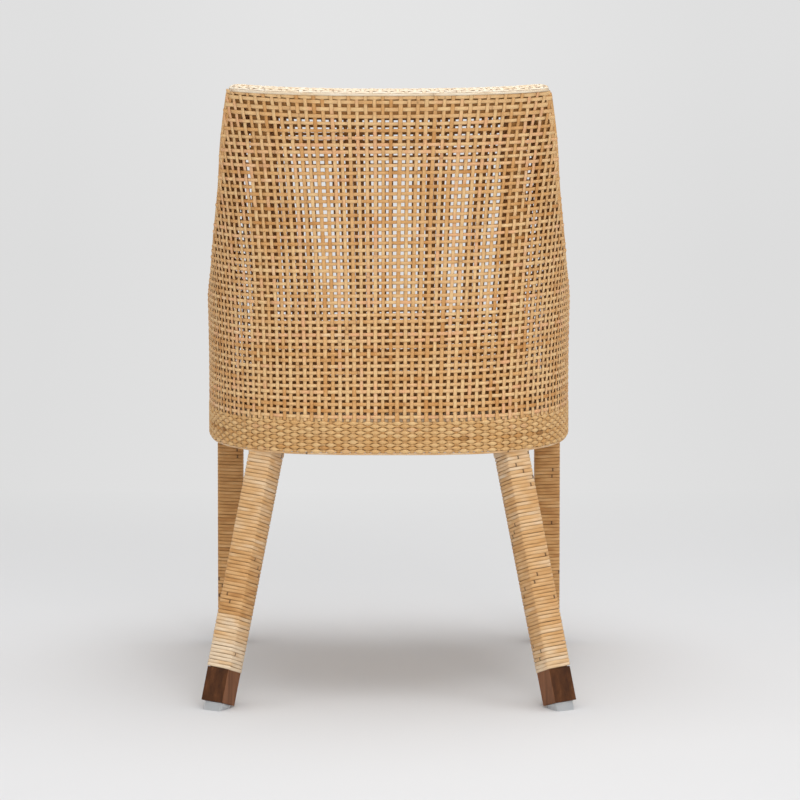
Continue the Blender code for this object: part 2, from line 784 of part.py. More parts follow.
def leg_glide(leg, parent):
    """The clear glide under the cap, level where it meets the floor."""
    half = GLIDE_SIZE / 2
    reach = CAP_LIFT + GLIDE_SIZE
    stations = ((-reach, half), (-SEAT_GAP, half))
    glide = prism(f"{leg.label}_glide", stations, GLIDE_CHAMFER, "clear_plastic", parent)
    place, normal = leg.local_plane(0)
    trim(glide, place, -normal)
    return glide


def leg_winding(leg, parent):
    """The peel wound up the leg as one unbroken strip, with its least gap to itself printed."""
    start = CAP_HEIGHT + SEAT_GAP
    skin = PEEL_THICKNESS + SEAT_GAP
    end = leg.along(BASE_BOTTOM - SEAT_GAP) - leg.lean(leg.core_top / 2 + skin)
    corners = len(octagon(1, 0))
    pitch = (end - start) / (PEEL_LOOPS + 1)
    width = pitch - PEEL_GAP
    rows = []
    for step in range(PEEL_LOOPS * corners + 1):
        low = start + pitch * step / corners
        ring = []
        for level, spread in ((low, SEAT_GAP), (low + width, SEAT_GAP), (low + width, skin), (low, skin)):
            cut = LEG_CHAMFER + spread * (1 - math.tan(math.pi / corners))
            x, y = octagon(leg.half(level) + spread, cut)[step % corners]
            ring.append((leg.side * x, y, level))
        rows.append(ring)
    winding = loft(f"{leg.label}_leg_winding", rows, "binding", parent)
    turn = rows[corners]
    least = min((Vector(turn[0]) - Vector(rows[0][1])).length, (Vector(turn[3]) - Vector(rows[0][2])).length)
    print(f"{leg.label} winding: {PEEL_LOOPS} loops, least gap to itself {least * 1000:.2f} mm")
    return winding


def run_behind(leg):
    """The run of the shell straight behind a rear leg's top."""
    return run_at(leg.side * leg.top.x, BASE_BOTTOM, 0)


def seat_rails(parent, legs):
    """The rails of the seat frame, butted against the legs."""
    bottom, top = RAIL_BOTTOM, RAIL_TOP
    outer, inner = SEAT_RAIL_DEPTH, SEAT_RAIL_DEPTH + SEAT_RAIL_THICKNESS
    section = ((outer, bottom), (outer, top), (inner, top), (inner, bottom))
    named = {leg.label: leg for leg in legs}
    leg_run = run_behind(named["rear_right"])
    made = {}
    spans = [("seat_rail_rear", -leg_run, leg_run), ("seat_rail_right", leg_run, SIDE_RUN)]
    spans.append(("seat_rail_left", -SIDE_RUN, -leg_run))
    for name, start, stop in spans:
        count = round((stop - start) / WALL_STEP)
        runs = [start + (stop - start) * index / count for index in range(count + 1)]
        rows = [[shell_point(run, level, depth) for depth, level in section] for run in runs]
        made[name] = loft(name, rows, "beech", parent)
    for label, side in SIDES:
        leg = named[f"rear_{label}"]
        away = leg.across * side
        half = leg.half(leg.along(top)) + NOTCH_GAP
        trim(made["seat_rail_rear"], leg.top - away * half, away)
        trim(made[f"seat_rail_{label}"], leg.top + away * half, -away)
        front = named[f"front_{label}"]
        face = front.top - Vector((0, FRONT_CORE_TOP / 2 + NOTCH_GAP, 0))
        trim(made[f"seat_rail_{label}"], face, (0, 1, 0))
    half = SHELL_HALF_WIDTH - FRONT_LEG_INSET - FRONT_CORE_TOP - NOTCH_GAP
    front_y = SHELL_FRONT_REACH - SEAT_RAIL_DEPTH
    back_y = front_y - SEAT_RAIL_THICKNESS
    corners = ((front_y, bottom), (front_y, top), (back_y, top), (back_y, bottom))
    rows = [[(x, y, level) for y, level in corners] for x in (-half, half)]
    made["seat_rail_front"] = loft("seat_rail_front", rows, "beech", parent)
    return made


def seat_deck(parent):
    """The plywood deck on the rails, notched round the posts and under the arms' fronts."""
    outline = [shell_point(run, DECK_BOTTOM, DECK_DEPTH) for run in ring_runs()]
    lift = Vector((0, 0, DECK_THICKNESS))
    deck = loft("seat_deck", [outline, [corner + lift for corner in outline]], "plywood", parent)
    for label, side in SIDES:
        combine(deck, loft(f"post_notch_{label}", post_rows(side, NOTCH_GAP), None, parent))
        far = SIDE_RUN - BACK_RUN + NOTCH_GAP
        near = far - RAIL_TOP_INSET - SIDE_RAIL_HEIGHT - 2 * NOTCH_GAP
        outer = SHELL_HALF_WIDTH
        inner = outer - INNER_WALL_DEPTH - WALL_THICKNESS - NOTCH_GAP
        rows = []
        for level in (DECK_BOTTOM - DECK_THICKNESS, DECK_TOP + DECK_THICKNESS):
            spots = ((inner, near), (outer, near), (outer, far), (inner, far))
            rows.append([(side * x, y, level) for x, y in spots])
        combine(deck, loft(f"arm_notch_{label}", rows, None, parent))
    return deck


def front_block(parent, leg):
    """A corner block between the side rail, the front rail and the front leg, with its flat face's middle."""
    side = leg.side
    gap = NOTCH_GAP
    outer_x = SHELL_HALF_WIDTH - SEAT_RAIL_DEPTH - SEAT_RAIL_THICKNESS - gap
    front_y = SHELL_FRONT_REACH - SEAT_RAIL_DEPTH - SEAT_RAIL_THICKNESS - gap
    top = leg.centre(RAIL_TOP)
    reach = leg.half(leg.along(RAIL_TOP)) + gap
    leg_x, leg_y = side * top.x - reach, top.y - reach
    corners = (
        (outer_x, leg_y - FRONT_BLOCK_REACH),
        (outer_x, leg_y),
        (leg_x, leg_y),
        (leg_x, front_y),
        (leg_x - FRONT_BLOCK_REACH, front_y),
    )
    rows = []
    for level in (BLOCK_BOTTOM, BLOCK_BOTTOM + BLOCK_HEIGHT):
        rows.append([Vector((side * x, y, level)) for x, y in corners])
    return loft(f"corner_block_{leg.label}", rows, "beech", parent), (rows[0][0] + rows[0][-1]) / 2


def rear_block(parent, leg):
    """A corner block against the rear leg, from one rail to the next, with its flat face's middle."""
    side = leg.side
    outer = SEAT_RAIL_DEPTH + SEAT_RAIL_THICKNESS + NOTCH_GAP + SEAT_GAP
    leg_run = run_behind(leg)
    middle = shell_point(side * leg_run, BLOCK_BOTTOM, REAR_BLOCK_BACK)
    inward = -outward_of(leg)
    count = round(2 * REAR_BLOCK_HALF_RUN / WALL_STEP) + 1
    back = []
    for index in range(count + 1):
        run = leg_run + REAR_BLOCK_HALF_RUN * (2 * index / count - 1)
        back.append(shell_point(side * run, BLOCK_BOTTOM, outer))
    flat = [place + inward * (middle - place).dot(inward) for place in (back[-1], back[0])]
    lift = Vector((0, 0, BLOCK_HEIGHT))
    outline = [*back, *flat]
    rows = [outline, [corner + lift for corner in outline]]
    block = loft(f"corner_block_{leg.label}", rows, "beech", parent)
    start, reach = leg.along(BASE_BOTTOM), leg.along(DECK_TOP + BAND_HEIGHT)
    stations = [(level, leg.half(level) + NOTCH_GAP) for level in (start, reach)]
    cutter = prism(f"{leg.label}_notch", stations, LEG_CHAMFER, None, parent)
    cutter.location = leg.foot
    cutter.rotation_euler = leg.frame.to_euler()
    combine(block, cutter)
    return block, middle


def outward_of(leg):
    """The level way out of the seat frame through a leg."""
    if leg.label.startswith("front"):
        return Vector((leg.side, 1, 0)).normalized()
    return Vector((leg.side * math.sin(LEG_TURN), -math.cos(LEG_TURN), 0))


def facing(direction):
    """The turn that points an object's own -Z along a direction."""
    return Vector(direction).to_track_quat("-Z", "Y").to_matrix()


def fasten_leg(parent, leg, core, block, middle, deck):
    """The bolt that draws a leg into its corner block, and the screw that holds the deck to that block."""
    outward = outward_of(leg)
    front = leg.label.startswith("front")
    centre = leg.centre(BOLT_LEVEL)
    face = centre + outward * (middle - centre).dot(outward)
    length = FRONT_BOLT_LENGTH if front else REAR_BOLT_LENGTH
    sizes = (BOLT_RADIUS, length, BOLT_HEAD_RADIUS, BOLT_HEAD_HEIGHT)
    place = face - outward * BOLT_HEAD_HEIGHT
    turn = facing(outward)
    fastener(f"{leg.label}_leg_bolt", parent, turn, place, sizes, SCREW_HOLE_GAP, (block, core))
    aside = Vector((-outward.y, outward.x, 0)) * leg.side
    shift = FRONT_DECK_SCREW_ASIDE if front else -REAR_DECK_SCREW_ASIDE
    spot = face + outward * DECK_SCREW_INSET + aside * shift
    sizes = (DECK_SCREW_RADIUS, DECK_SCREW_LENGTH, DECK_SCREW_HEAD_RADIUS, DECK_SCREW_HEAD_HEIGHT)
    turn = facing((0, 0, -1))
    place = (spot.x, spot.y, DECK_TOP)
    fastener(f"{leg.label}_deck_screw", parent, turn, place, sizes, SCREW_HOLE_GAP, (deck, block))


def cushion(parent):
    """The loose cushion: a crowned pad whose sides draw in between its corners."""
    base = DECK_TOP + SEAT_GAP
    half = SHELL_HALF_WIDTH - CUSHION_DEPTH
    front = SHELL_FRONT_REACH - CUSHION_FRONT_INSET
    radius = CUSHION_CORNER_RADIUS
    outline = []
    count = round(BACK_RUN / CUSHION_STEP)
    for index in range(-count, count + 1):
        place = shell_point(BACK_RUN * index / count, base, CUSHION_DEPTH)
        outline.append(Vector((place.x, place.y)))
    side_count = round((front - radius) / CUSHION_STEP)
    right = []
    for index in range(1, side_count + 1):
        share = index / side_count
        pull = CUSHION_DRAW_IN * math.sin(math.pi * share)
        right.append(Vector((half - pull, (front - radius) * share)))
    for index in range(1, CUSHION_CORNER_STEPS + 1):
        angle = math.pi / 2 * index / CUSHION_CORNER_STEPS
        x = half - radius + radius * math.cos(angle)
        y = front - radius + radius * math.sin(angle)
        right.append(Vector((x, y)))
    front_count = round(2 * (half - radius) / CUSHION_STEP)
    across = []
    for index in range(1, front_count):
        share = index / front_count
        pull = CUSHION_DRAW_IN * math.sin(math.pi * share)
        across.append(Vector(((half - radius) * (1 - 2 * share), front - pull)))
    left = [Vector((-p.x, p.y)) for p in reversed(right)]
    outline = [*outline, *right, *across, *left]
    middle = Vector((0, (front - SHELL_BACK_REACH + CUSHION_DEPTH) / 2))
    edge = CUSHION_EDGE_HEIGHT
    side_shares = ((0.90, 0.0), (0.975, 0.02), (0.995, 0.18), (1.0, 0.5), (0.993, 0.82), (0.965, 1.0))
    crown_shares = (0.88, 0.74, 0.55, 0.32)
    levels = [(scale, edge * rise) for scale, rise in side_shares]
    for scale in crown_shares:
        rise = CUSHION_CROWN * (1 - scale**CUSHION_CROWN_POWER) ** CUSHION_CROWN_ROUNDING
        levels.append((scale, edge + rise))
    maker = bmesh.new()
    rings = []
    for scale, rise in levels:
        ring = []
        for place in outline:
            spot = middle + (place - middle) * scale
            ring.append(maker.verts.new((spot.x, spot.y, base + rise)))
        rings.append(ring)
    grid_faces(maker, rings, True, False)
    maker.faces.new(rings[0])
    top = maker.verts.new((middle.x, middle.y, base + edge + CUSHION_CROWN))
    for index, corner in enumerate(rings[-1]):
        maker.faces.new((corner, rings[-1][(index + 1) % len(outline)], top))
    return add_object("seat_cushion", maker, "linen", parent)


def leg_unit(parent, leg):
    """A leg with its winding, cap, glide and glide screw."""
    axis = add_empty(f"{leg.label}_axis", leg.foot, parent, leg.frame)
    core = leg_core(leg, axis)
    cap = leg_cap(leg, axis)
    glide = leg_glide(leg, axis)
    leg_winding(leg, axis)
    place, _ = leg.local_plane(GLIDE_SCREW_LIFT)
    sizes = (GLIDE_SCREW_RADIUS, GLIDE_SCREW_LENGTH, GLIDE_SCREW_HEAD_RADIUS, GLIDE_SCREW_HEAD_HEIGHT)
    turn = facing((0, 0, 1))
    fastener(f"{leg.label}_glide_screw", axis, turn, place, sizes, GLIDE_HOLE_OPENING, (cap, glide))
    return core


def main():
    clear_scene()
    legs = make_legs()
    chair = add_empty("side_chair", (0, (rear_reach(legs) - SHELL_FRONT_REACH) / 2, 0))
    seat_rails(chair, legs)
    deck = seat_deck(chair)
    for leg in legs:
        core = leg_unit(chair, leg)
        make_block = front_block if leg.label.startswith("front") else rear_block
        block, middle = make_block(chair, leg)
        fasten_leg(chair, leg, core, block, middle, deck)
    top_rail(chair)
    for label, side in SIDES:
        side_rail(chair, label, side)
        loft(f"back_post_{label}", post_rows(side, 0), "pole", chair)
    wall("outer_weave", "peel", chair, WALL_FOOT, 0, WALL_THICKNESS)
    inner_face = INNER_WALL_DEPTH + WALL_THICKNESS
    wall("inner_weave", "peel_shade", chair, DECK_TOP + SEAT_GAP, inner_face, INNER_WALL_DEPTH)
    base_ring("bottom_binding", "binding", chair, BASE_BOTTOM, BINDING_HEIGHT)
    lift = BINDING_HEIGHT + SEAT_GAP
    base_ring("base_band", "peel", chair, BASE_BOTTOM + lift, BAND_HEIGHT - lift)
    path = rim_path()
    sweep("rim_binding", "binding", chair, path, mitres(path), rim_section())
    cushion(chair)


main()
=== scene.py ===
"""Looks of the rattan side chair: woven peel, wrapped legs, wood, clear glides and a cushion.

Lengths are in metres. The chair faces +Y. A place on the woven shell has a run (the distance round its plan
from the middle of the back, right-hand side positive), a height, and a depth inward from the outside face.
"""

import math

import bmesh
import bpy
import numpy as np
from mathutils import Matrix, Vector
from mathutils.bvhtree import BVHTree


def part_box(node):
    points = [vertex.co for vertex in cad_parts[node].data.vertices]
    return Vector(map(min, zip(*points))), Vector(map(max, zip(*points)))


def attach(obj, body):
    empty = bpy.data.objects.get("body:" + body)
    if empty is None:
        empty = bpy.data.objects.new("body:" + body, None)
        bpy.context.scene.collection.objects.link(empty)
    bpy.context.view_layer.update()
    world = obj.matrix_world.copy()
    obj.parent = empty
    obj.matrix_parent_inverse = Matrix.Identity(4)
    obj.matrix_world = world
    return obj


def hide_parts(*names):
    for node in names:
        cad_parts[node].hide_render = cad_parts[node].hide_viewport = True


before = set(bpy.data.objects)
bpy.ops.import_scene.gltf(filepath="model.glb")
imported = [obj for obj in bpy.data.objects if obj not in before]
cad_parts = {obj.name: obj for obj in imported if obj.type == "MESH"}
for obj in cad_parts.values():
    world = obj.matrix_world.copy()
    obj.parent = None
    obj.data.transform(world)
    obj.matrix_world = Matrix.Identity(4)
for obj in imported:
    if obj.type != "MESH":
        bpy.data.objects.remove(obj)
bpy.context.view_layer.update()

# The shell that the woven walls follow, as the frame has it
SHELL_HALF_WIDTH = 0.252
SHELL_BACK_REACH = 0.250
SHELL_FRONT_REACH = 0.202
SHELL_FRONT_RADIUS = 0.012
PLAN_POWER = 3.0
PLAN_SAMPLES = 4000
BASE_BOTTOM = 0.343
CREST_HEIGHT = 0.8455
CREST_DIP = 0.0035
CREST_CORNER_AROUND = 0.2257
ARM_FRONT_HEIGHT = 0.480
FLARE_START = 0.400
FLARE_SHARE = 0.165
FLARE_POWER = 2.7
SIDE_EDGE_SHARES = (
    (0.0, 0.0), (0.076, 0.223), (0.132, 0.412), (0.214, 0.603), (0.298, 0.746), (0.447, 0.855),
    (0.615, 0.926), (0.808, 0.973), (1.0, 1.0),
)
INNER_WALL_DEPTH = 0.026
WALL_THICKNESS = 0.003
RIM_DROP = 0.009
BAND_TOP = 0.391
DECK_TOP = 0.3957
MIDDLE_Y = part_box("base_band")[1].y - SHELL_FRONT_REACH
PROBE = 0.0005
NUDGE = 1e-6
CREST_SAMPLES = 80
SIDE_EDGE_SPANS = 12

# Peel strips: the flat skin of the cane, crowned on its outside
PEEL_THICKNESS = 0.0012
SECTION_SHARES = (
    (-0.46, -0.5), (0.46, -0.5), (0.5, -0.1), (0.43, 0.25), (0.2, 0.5), (-0.2, 0.5), (-0.43, 0.25),
    (-0.5, -0.1),
)
SECTION_SKIN = (0.0, 0.0, 0.7, 1.0, 1.0, 1.0, 1.0, 0.7)
STEPS_PER_CROSSING = 4
PIECE_STRANDS = 18
END_QUADS = ((0, 1, 2, 3), (0, 3, 4, 7), (4, 5, 6, 7))
GRAIN_STARTS = (0, 3)

# The outer weave's rows, from the top one down: their pitch by height
TOP_ROW = 0.8251
EDGE_ROW = 0.8319
ROW_PITCHES = ((0.390, 0.00872), (0.565, 0.00872), (0.610, 0.00915), (0.660, 0.00962), (0.830, 0.00960))
ROW_WIDTH = 0.0046
TOP_ROW_WIDTH = 0.0055
WIDE_ROWS = 4
OUTER_SEED = 11

# How much the rows rise toward the right and fall toward the left: by height, and its share by distance round
TILTS = (
    (0.390, 0.0), (0.410, 0.0008), (0.440, 0.0028), (0.480, 0.0036), (0.520, 0.0033), (0.570, 0.0028),
    (0.620, 0.0038), (0.690, 0.0033), (0.750, 0.0022), (0.800, 0.0010), (0.825, -0.0010),
)
TILT_SHARES = (
    (0.0, 0.0), (0.06, 0.25), (0.12, 0.62), (0.168, 1.0), (0.22, 1.35), (0.30, 1.3), (0.45, 0.6),
    (0.60, 0.2),
)
CREST_BEND_START = 0.78
CREST_BEND_REACH = 0.025

# Stakes of the outer weave: where the middle one stands, and the pitch to its left and right, by height
STAKE_WIDTH = 0.0050
MIDDLE_STAKES = ((0.418, 0.0017), (0.602, 0.0024), (0.766, 0.0030))
LEFT_PITCHES = ((0.418, 0.00973), (0.602, 0.00995), (0.766, 0.01013))
RIGHT_PITCHES = ((0.418, 0.00988), (0.602, 0.01033), (0.766, 0.01036))
OUTER_FOOT = BAND_TOP - 0.002

# The inner weave: its stakes' pitch by place round, how that shrinks by height, and its rows' offsets
INNER_START = 0.0142
INNER_PITCHES = (
    (-0.20, 0.0106), (-0.15, 0.0107), (-0.12, 0.0106), (-0.07, 0.0099), (-0.03, 0.0101), (0.0, 0.0104),
    (0.02, 0.0107), (0.06, 0.0101), (0.10, 0.0098), (0.20, 0.0099),
)
INNER_SCALES = ((0.418, 0.955), (0.546, 0.975), (0.627, 0.990), (0.700, 1.0))
INNER_DROPS = ((0.418, 0.00395), (0.554, 0.00333), (0.691, 0.00272), (0.827, 0.00211))
INNER_SLIDES = (
    (0.400, -0.50), (0.528, -0.47), (0.537, -0.30), (0.554, 0.0), (0.720, 0.03), (0.759, 0.35),
    (0.780, 0.65), (0.800, 0.75),
)
INNER_THINNING = 0.93
INNER_FOOT = DECK_TOP + 0.0006
INNER_SEED = 23
MOST_STAKES = 70
BAND_STAKE_PITCH = 0.01021

# How far the strips swing over one another, how they wander, and how much they differ
ROW_SWING = 0.0009
STAKE_SWING = 0.00028
ROW_WANDER = 0.0003
STAKE_WANDER = 0.0003
SLOW_WAVES = (0.9, 0.45, 0.25)
ROW_LIFT_WANDER = ROW_WANDER / 5
SWING_SHARPNESS = 1.35
WAVE_SHARE = 0.6
WAVE_SPREAD = (0.8, 1.25)
WIDTH_SPREAD = 0.045
WIDTH_WANDER = 0.03

# Where the walls stop short of the edge, and how the outer strips turn in round it
CREST_INSET = 0.0054
SIDE_INSET = 0.0042
TURN_RADIUS = 0.0022
TURN_REACH = 0.0010
BORDER_INSETS = (0.0036, 0.0086)
BORDER_DEPTH = 0.0023
BORDER_WIDTH = 0.0053
BORDER_START = 0.0035
BORDER_THICKNESS = 0.0016
TURN_ANGLES = (35, 70, 90)
BORDER_STEP = 0.003
BORDER_TINTS = (0, 0.6)
EDGE_STEP = 0.002
EDGE_BLEND = 0.012
EDGE_SAMPLES = 500
FOOT_GAP = 0.0005
FOOT_SHARE = 0.1

# Camera, fitted to the photograph: its distance behind the widest line, height, pitch and lens
CAMERA_DISTANCE = 6.216
CAMERA_HEIGHT = 1.2737
CAMERA_PITCH = math.radians(8.165)
CAMERA_LENS = 200.2
CAMERA_SHIFT = 0.0140
CAMERA_RISE = 0.0013
CAMERA_CLIP = 60


def plan_table():
    """Run round a quarter of the back, against the angle of the superellipse that shapes it."""
    angles = np.linspace(0, math.pi / 2, PLAN_SAMPLES)
    across = SHELL_HALF_WIDTH * np.sin(angles) ** (2 / PLAN_POWER)
    back = SHELL_BACK_REACH * np.cos(angles) ** (2 / PLAN_POWER)
    steps = np.hypot(np.diff(across), np.diff(back))
    return np.concatenate([[0], np.cumsum(steps)]), angles


PLAN_RUNS, PLAN_ANGLES = plan_table()
BACK_RUN = float(PLAN_RUNS[-1])
SIDE_RUN = BACK_RUN + SHELL_FRONT_REACH - SHELL_FRONT_RADIUS
CORNER_RUN = SIDE_RUN + SHELL_FRONT_RADIUS * math.pi / 2
FRONT_RUN = CORNER_RUN + SHELL_HALF_WIDTH - SHELL_FRONT_RADIUS
CREST_HALF_RUN = BACK_RUN - CREST_CORNER_AROUND


def unit(ways):
    """The same ways, each to unit length."""
    return ways / np.linalg.norm(ways, axis=-1, keepdims=True)


def along_of(path, closed=False):
    """The way along a path at each of its points."""
    if closed:
        return unit(np.roll(path, -1, axis=0) - np.roll(path, 1, axis=0))
    return unit(np.gradient(path, axis=0))


def inward_of(line):
    """The way in from the edge, square to a line of runs and heights along it."""
    along = along_of(line)
    return np.stack([along[:, 1], -along[:, 0]], axis=1)


def lengths_along(path):
    """Distance along the path from its first point to each."""
    steps = np.linalg.norm(np.diff(path, axis=0), axis=1)
    return np.concatenate([[0], np.cumsum(steps)])


def flare(height):
    """How much wider the shell is at a height than at its foot."""
    climb = np.clip((height - FLARE_START) / (CREST_HEIGHT - FLARE_START), 0, None)
    return 1 + FLARE_SHARE * climb**FLARE_POWER


def shell(run, height, depth):
    """Places on the shell, in the frame's own space."""
    run, height, depth = np.broadcast_arrays(run, height, depth)
    distance = np.abs(run)
    angle = np.interp(distance, PLAN_RUNS, PLAN_ANGLES)
    half = SHELL_HALF_WIDTH * flare(height) - depth
    back = SHELL_BACK_REACH * flare(height) - depth
    x = half * np.sin(angle) ** (2 / PLAN_POWER)
    y = -back * np.maximum(np.cos(angle), 0) ** (2 / PLAN_POWER)
    y = np.where(distance > BACK_RUN, distance - BACK_RUN, y)
    radius = SHELL_FRONT_RADIUS - depth
    turn = np.clip((distance - SIDE_RUN) / SHELL_FRONT_RADIUS, 0, math.pi / 2)
    past = distance > SIDE_RUN
    x = np.where(past, half - radius + radius * np.cos(turn), x)
    y = np.where(past, SIDE_RUN - BACK_RUN + radius * np.sin(turn), y)
    front = distance > CORNER_RUN
    share = (FRONT_RUN - distance) / (FRONT_RUN - CORNER_RUN)
    x = np.where(front, share * (half - radius), x)
    y = np.where(front, SHELL_FRONT_REACH - depth, y)
    return np.stack([np.sign(run) * x, y + MIDDLE_Y, height], axis=-1)


def shell_out(run, height, depth):
    """The way out of the shell, to unit length."""
    out = shell(run, height, depth - PROBE) - shell(run, height, depth + PROBE)
    along = shell(run + PROBE, height, depth) - shell(run - PROBE, height, depth)
    up = shell(run, height + PROBE, depth) - shell(run, height - PROBE, depth)
    square = np.cross(along, up)
    return unit(square * np.sign((square * out).sum(axis=-1, keepdims=True)))


def smooth_curve(points, spans):
    """A Catmull-Rom curve through the points."""
    ends = [2 * points[0] - points[1], *points, 2 * points[-1] - points[-2]]
    curve = []
    for before, start, end, after in zip(ends, ends[1:], ends[2:], ends[3:]):
        for step in range(spans):
            share = step / spans
            bend = 2 * before - 5 * start + 4 * end - after
            swing = 3 * start - before - 3 * end + after
            curve.append(start + share / 2 * ((end - before) + share * (bend + share * swing)))
    return np.array([*curve, points[-1]])


def side_edge():
    """The side edge's line of runs and heights, from the crest's corner to the arm's front."""
    reach = SIDE_RUN - CREST_HALF_RUN
    fall = CREST_HEIGHT - ARM_FRONT_HEIGHT
    knots = [
        np.array((CREST_HALF_RUN + forward * reach, CREST_HEIGHT - drop * fall))
        for forward, drop in SIDE_EDGE_SHARES
    ]
    return smooth_curve(knots, SIDE_EDGE_SPANS)


SIDE_EDGE = side_edge()


def crest_height(run):
    """Height of the crest, which dips a little in the middle."""
    return CREST_HEIGHT - CREST_DIP * (1 - np.clip(np.abs(run) / CREST_HALF_RUN, 0, 1) ** 2)


def rim_line(step):
    """The rim's edge from the left arm's foot over the back to the right arm's foot, evenly spaced."""
    crest_runs = np.linspace(0, CREST_HALF_RUN, CREST_SAMPLES)
    crest = np.stack([crest_runs, crest_height(crest_runs)], axis=1)
    foot = np.array([[SIDE_RUN, BAND_TOP]])
    half = np.concatenate([crest, SIDE_EDGE[1:], foot])
    line = np.concatenate([half[:0:-1] * (-1, 1), half])
    lengths = lengths_along(line)
    places = np.linspace(0, lengths[-1], round(lengths[-1] / step) + 1)
    return np.stack([np.interp(places, lengths, line[:, axis]) for axis in range(2)], axis=1)


def softened(line, reach):
    """The line with its corners eased over a few steps, its two ends kept."""
    weights = np.hanning(2 * reach + 3)[1:-1]
    weights /= weights.sum()
    padded = np.pad(line, ((reach, reach), (0, 0)), mode="edge")
    eased = np.stack([np.convolve(column, weights, "valid") for column in padded.T], axis=1)
    eased[0], eased[-1] = line[0], line[-1]
    return eased


def edge_limits(crest_inset, side_inset):
    """Heights of a line inside the top edge, over a table of runs from the middle of the back."""
    line = rim_line(EDGE_STEP)
    line = line[len(line) // 2 :]
    blend = (CREST_HALF_RUN - EDGE_BLEND, CREST_HALF_RUN)
    inset = np.interp(line[:, 0], blend, (crest_inset, side_inset))
    shifted = line + inward_of(line) * inset[:, None]
    runs = np.linspace(0, SIDE_RUN - side_inset, EDGE_SAMPLES)
    keep = np.concatenate([[True], np.diff(np.maximum.accumulate(shifted[:, 0])) > 0])
    return runs, np.interp(runs, shifted[keep, 0], shifted[keep, 1])


def ring_quads(count, sides, closed):
    """Faces between each ring of points and the next one."""
    first = np.arange(count if closed else count - 1)[:, None] * sides
    second = (first + sides) % (count * sides)
    corner = np.arange(sides)
    after = (corner + 1) % sides
    quads = [first + corner, second + corner, second + after, first + after]
    return np.stack(quads, axis=-1).reshape(-1, 4)


class Strands:
    """Collects peel strips and makes one mesh of them."""

    def __init__(self):
        self.points, self.faces, self.grain, self.skin, self.count = [], [], [], [], 0

    def add(self, path, out, width, tint, thickness=PEEL_THICKNESS, closed=False, start=0.0):
        """One strip along a path, with its crown facing out."""
        path, out = np.asarray(path, float), np.asarray(out, float)
        section = np.array(SECTION_SHARES)
        count, sides = len(path), len(section)
        along = along_of(path, closed)
        side = unit(np.cross(along, out))
        out = np.cross(side, along)
        width, thickness = (np.broadcast_to(size, count)[:, None, None] for size in (width, thickness))
        across = side[:, None] * (section[None, :, :1] * width)
        ring = path[:, None] + across + out[:, None] * (section[None, :, 1:] * thickness)
        grain = np.zeros((count, sides, 3))
        grain[:, :, 0] = start + lengths_along(path)[:, None]
        grain[:, :, 1] = section[None, :, 0]
        grain[:, :, 2] = np.broadcast_to(tint, count)[:, None]
        self.faces.append(ring_quads(count, sides, closed) + self.count)
        if not closed:
            caps = np.array(END_QUADS) + self.count
            self.faces += [caps, caps[:, ::-1] + (count - 1) * sides]
        self.points.append(ring.reshape(-1, 3))
        self.grain.append(grain.reshape(-1, 3))
        self.skin.append(np.tile(SECTION_SKIN, count))
        self.count += count * sides

    def lay(self, runs, heights, depth, *values, **settings):
        """One strip of the base band, at these places on the shell."""
        out = shell_out(runs, heights, BAND_DEPTH)
        self.add(shell(runs, heights, depth), out, *values, **settings)

    def piece(self, name, finish, slot, *replaced):
        """The mesh as a piece of the chair."""
        points = np.concatenate(self.points).astype(np.float32)
        faces = np.concatenate(self.faces).astype(np.int32)
        mesh = bpy.data.meshes.new(name)
        mesh.vertices.add(len(points))
        mesh.vertices.foreach_set("co", points.ravel())
        mesh.loops.add(faces.size)
        mesh.loops.foreach_set("vertex_index", faces.ravel())
        mesh.polygons.add(len(faces))
        mesh.polygons.foreach_set("loop_start", np.arange(0, faces.size, 4, dtype=np.int32))
        mesh.polygons.foreach_set("loop_total", np.full(len(faces), 4, dtype=np.int32))
        mesh.update(calc_edges=True)
        mesh.validate()
        mesh.shade_smooth()
        self.mark(mesh, "grain", "FLOAT_VECTOR", "vector", self.grain)
        self.mark(mesh, "skin", "FLOAT", "value", self.skin)
        return place(name, mesh, finish, slot, *replaced)

    def mark(self, mesh, name, kind, field, values):
        """Stores values on the mesh's points for its finish to read."""
        attribute = mesh.attributes.new(name, kind, "POINT")
        attribute.data.foreach_set(field, np.concatenate(values).astype(np.float32).ravel())


def put(name, data):
    """A new object in the scene."""
    made = bpy.data.objects.new(name, data)
    bpy.context.scene.collection.objects.link(made)
    return made


def dress(piece, finish, slot, *replaced):
    """Gives a piece its finish, hangs it under the chair's root and hides the frame's pieces that it
    replaces.
    """
    piece.data.materials.clear()
    piece.data.materials.append(finish)
    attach(piece, "root")
    if replaced:
        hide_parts(*replaced)
    return piece


def place(name, mesh, finish, slot, *replaced):
    """Puts a finished mesh on the chair as one piece."""
    return dress(put(name, mesh), finish, slot, *replaced)


def new_mesh(name, points, faces):
    """A smooth mesh of these points and faces."""
    mesh = bpy.data.meshes.new(name)
    mesh.from_pydata(points, [], faces)
    mesh.update()
    mesh.shade_smooth()
    return mesh


def tube_mesh(name, rings, closed=False):
    """A skin through rings of points: closed on itself, or with a flat end on each side."""
    count, sides, _ = rings.shape
    faces = ring_quads(count, sides, closed).tolist()
    if not closed:
        faces.append(tuple(range(sides)))
        faces.append(tuple(reversed(range((count - 1) * sides, count * sides))))
    mesh = new_mesh(name, rings.reshape(-1, 3).tolist(), faces)
    maker = bmesh.new()
    maker.from_mesh(mesh)
    bmesh.ops.recalc_face_normals(maker, faces=maker.faces)
    maker.to_mesh(mesh)
    maker.free()
    return mesh


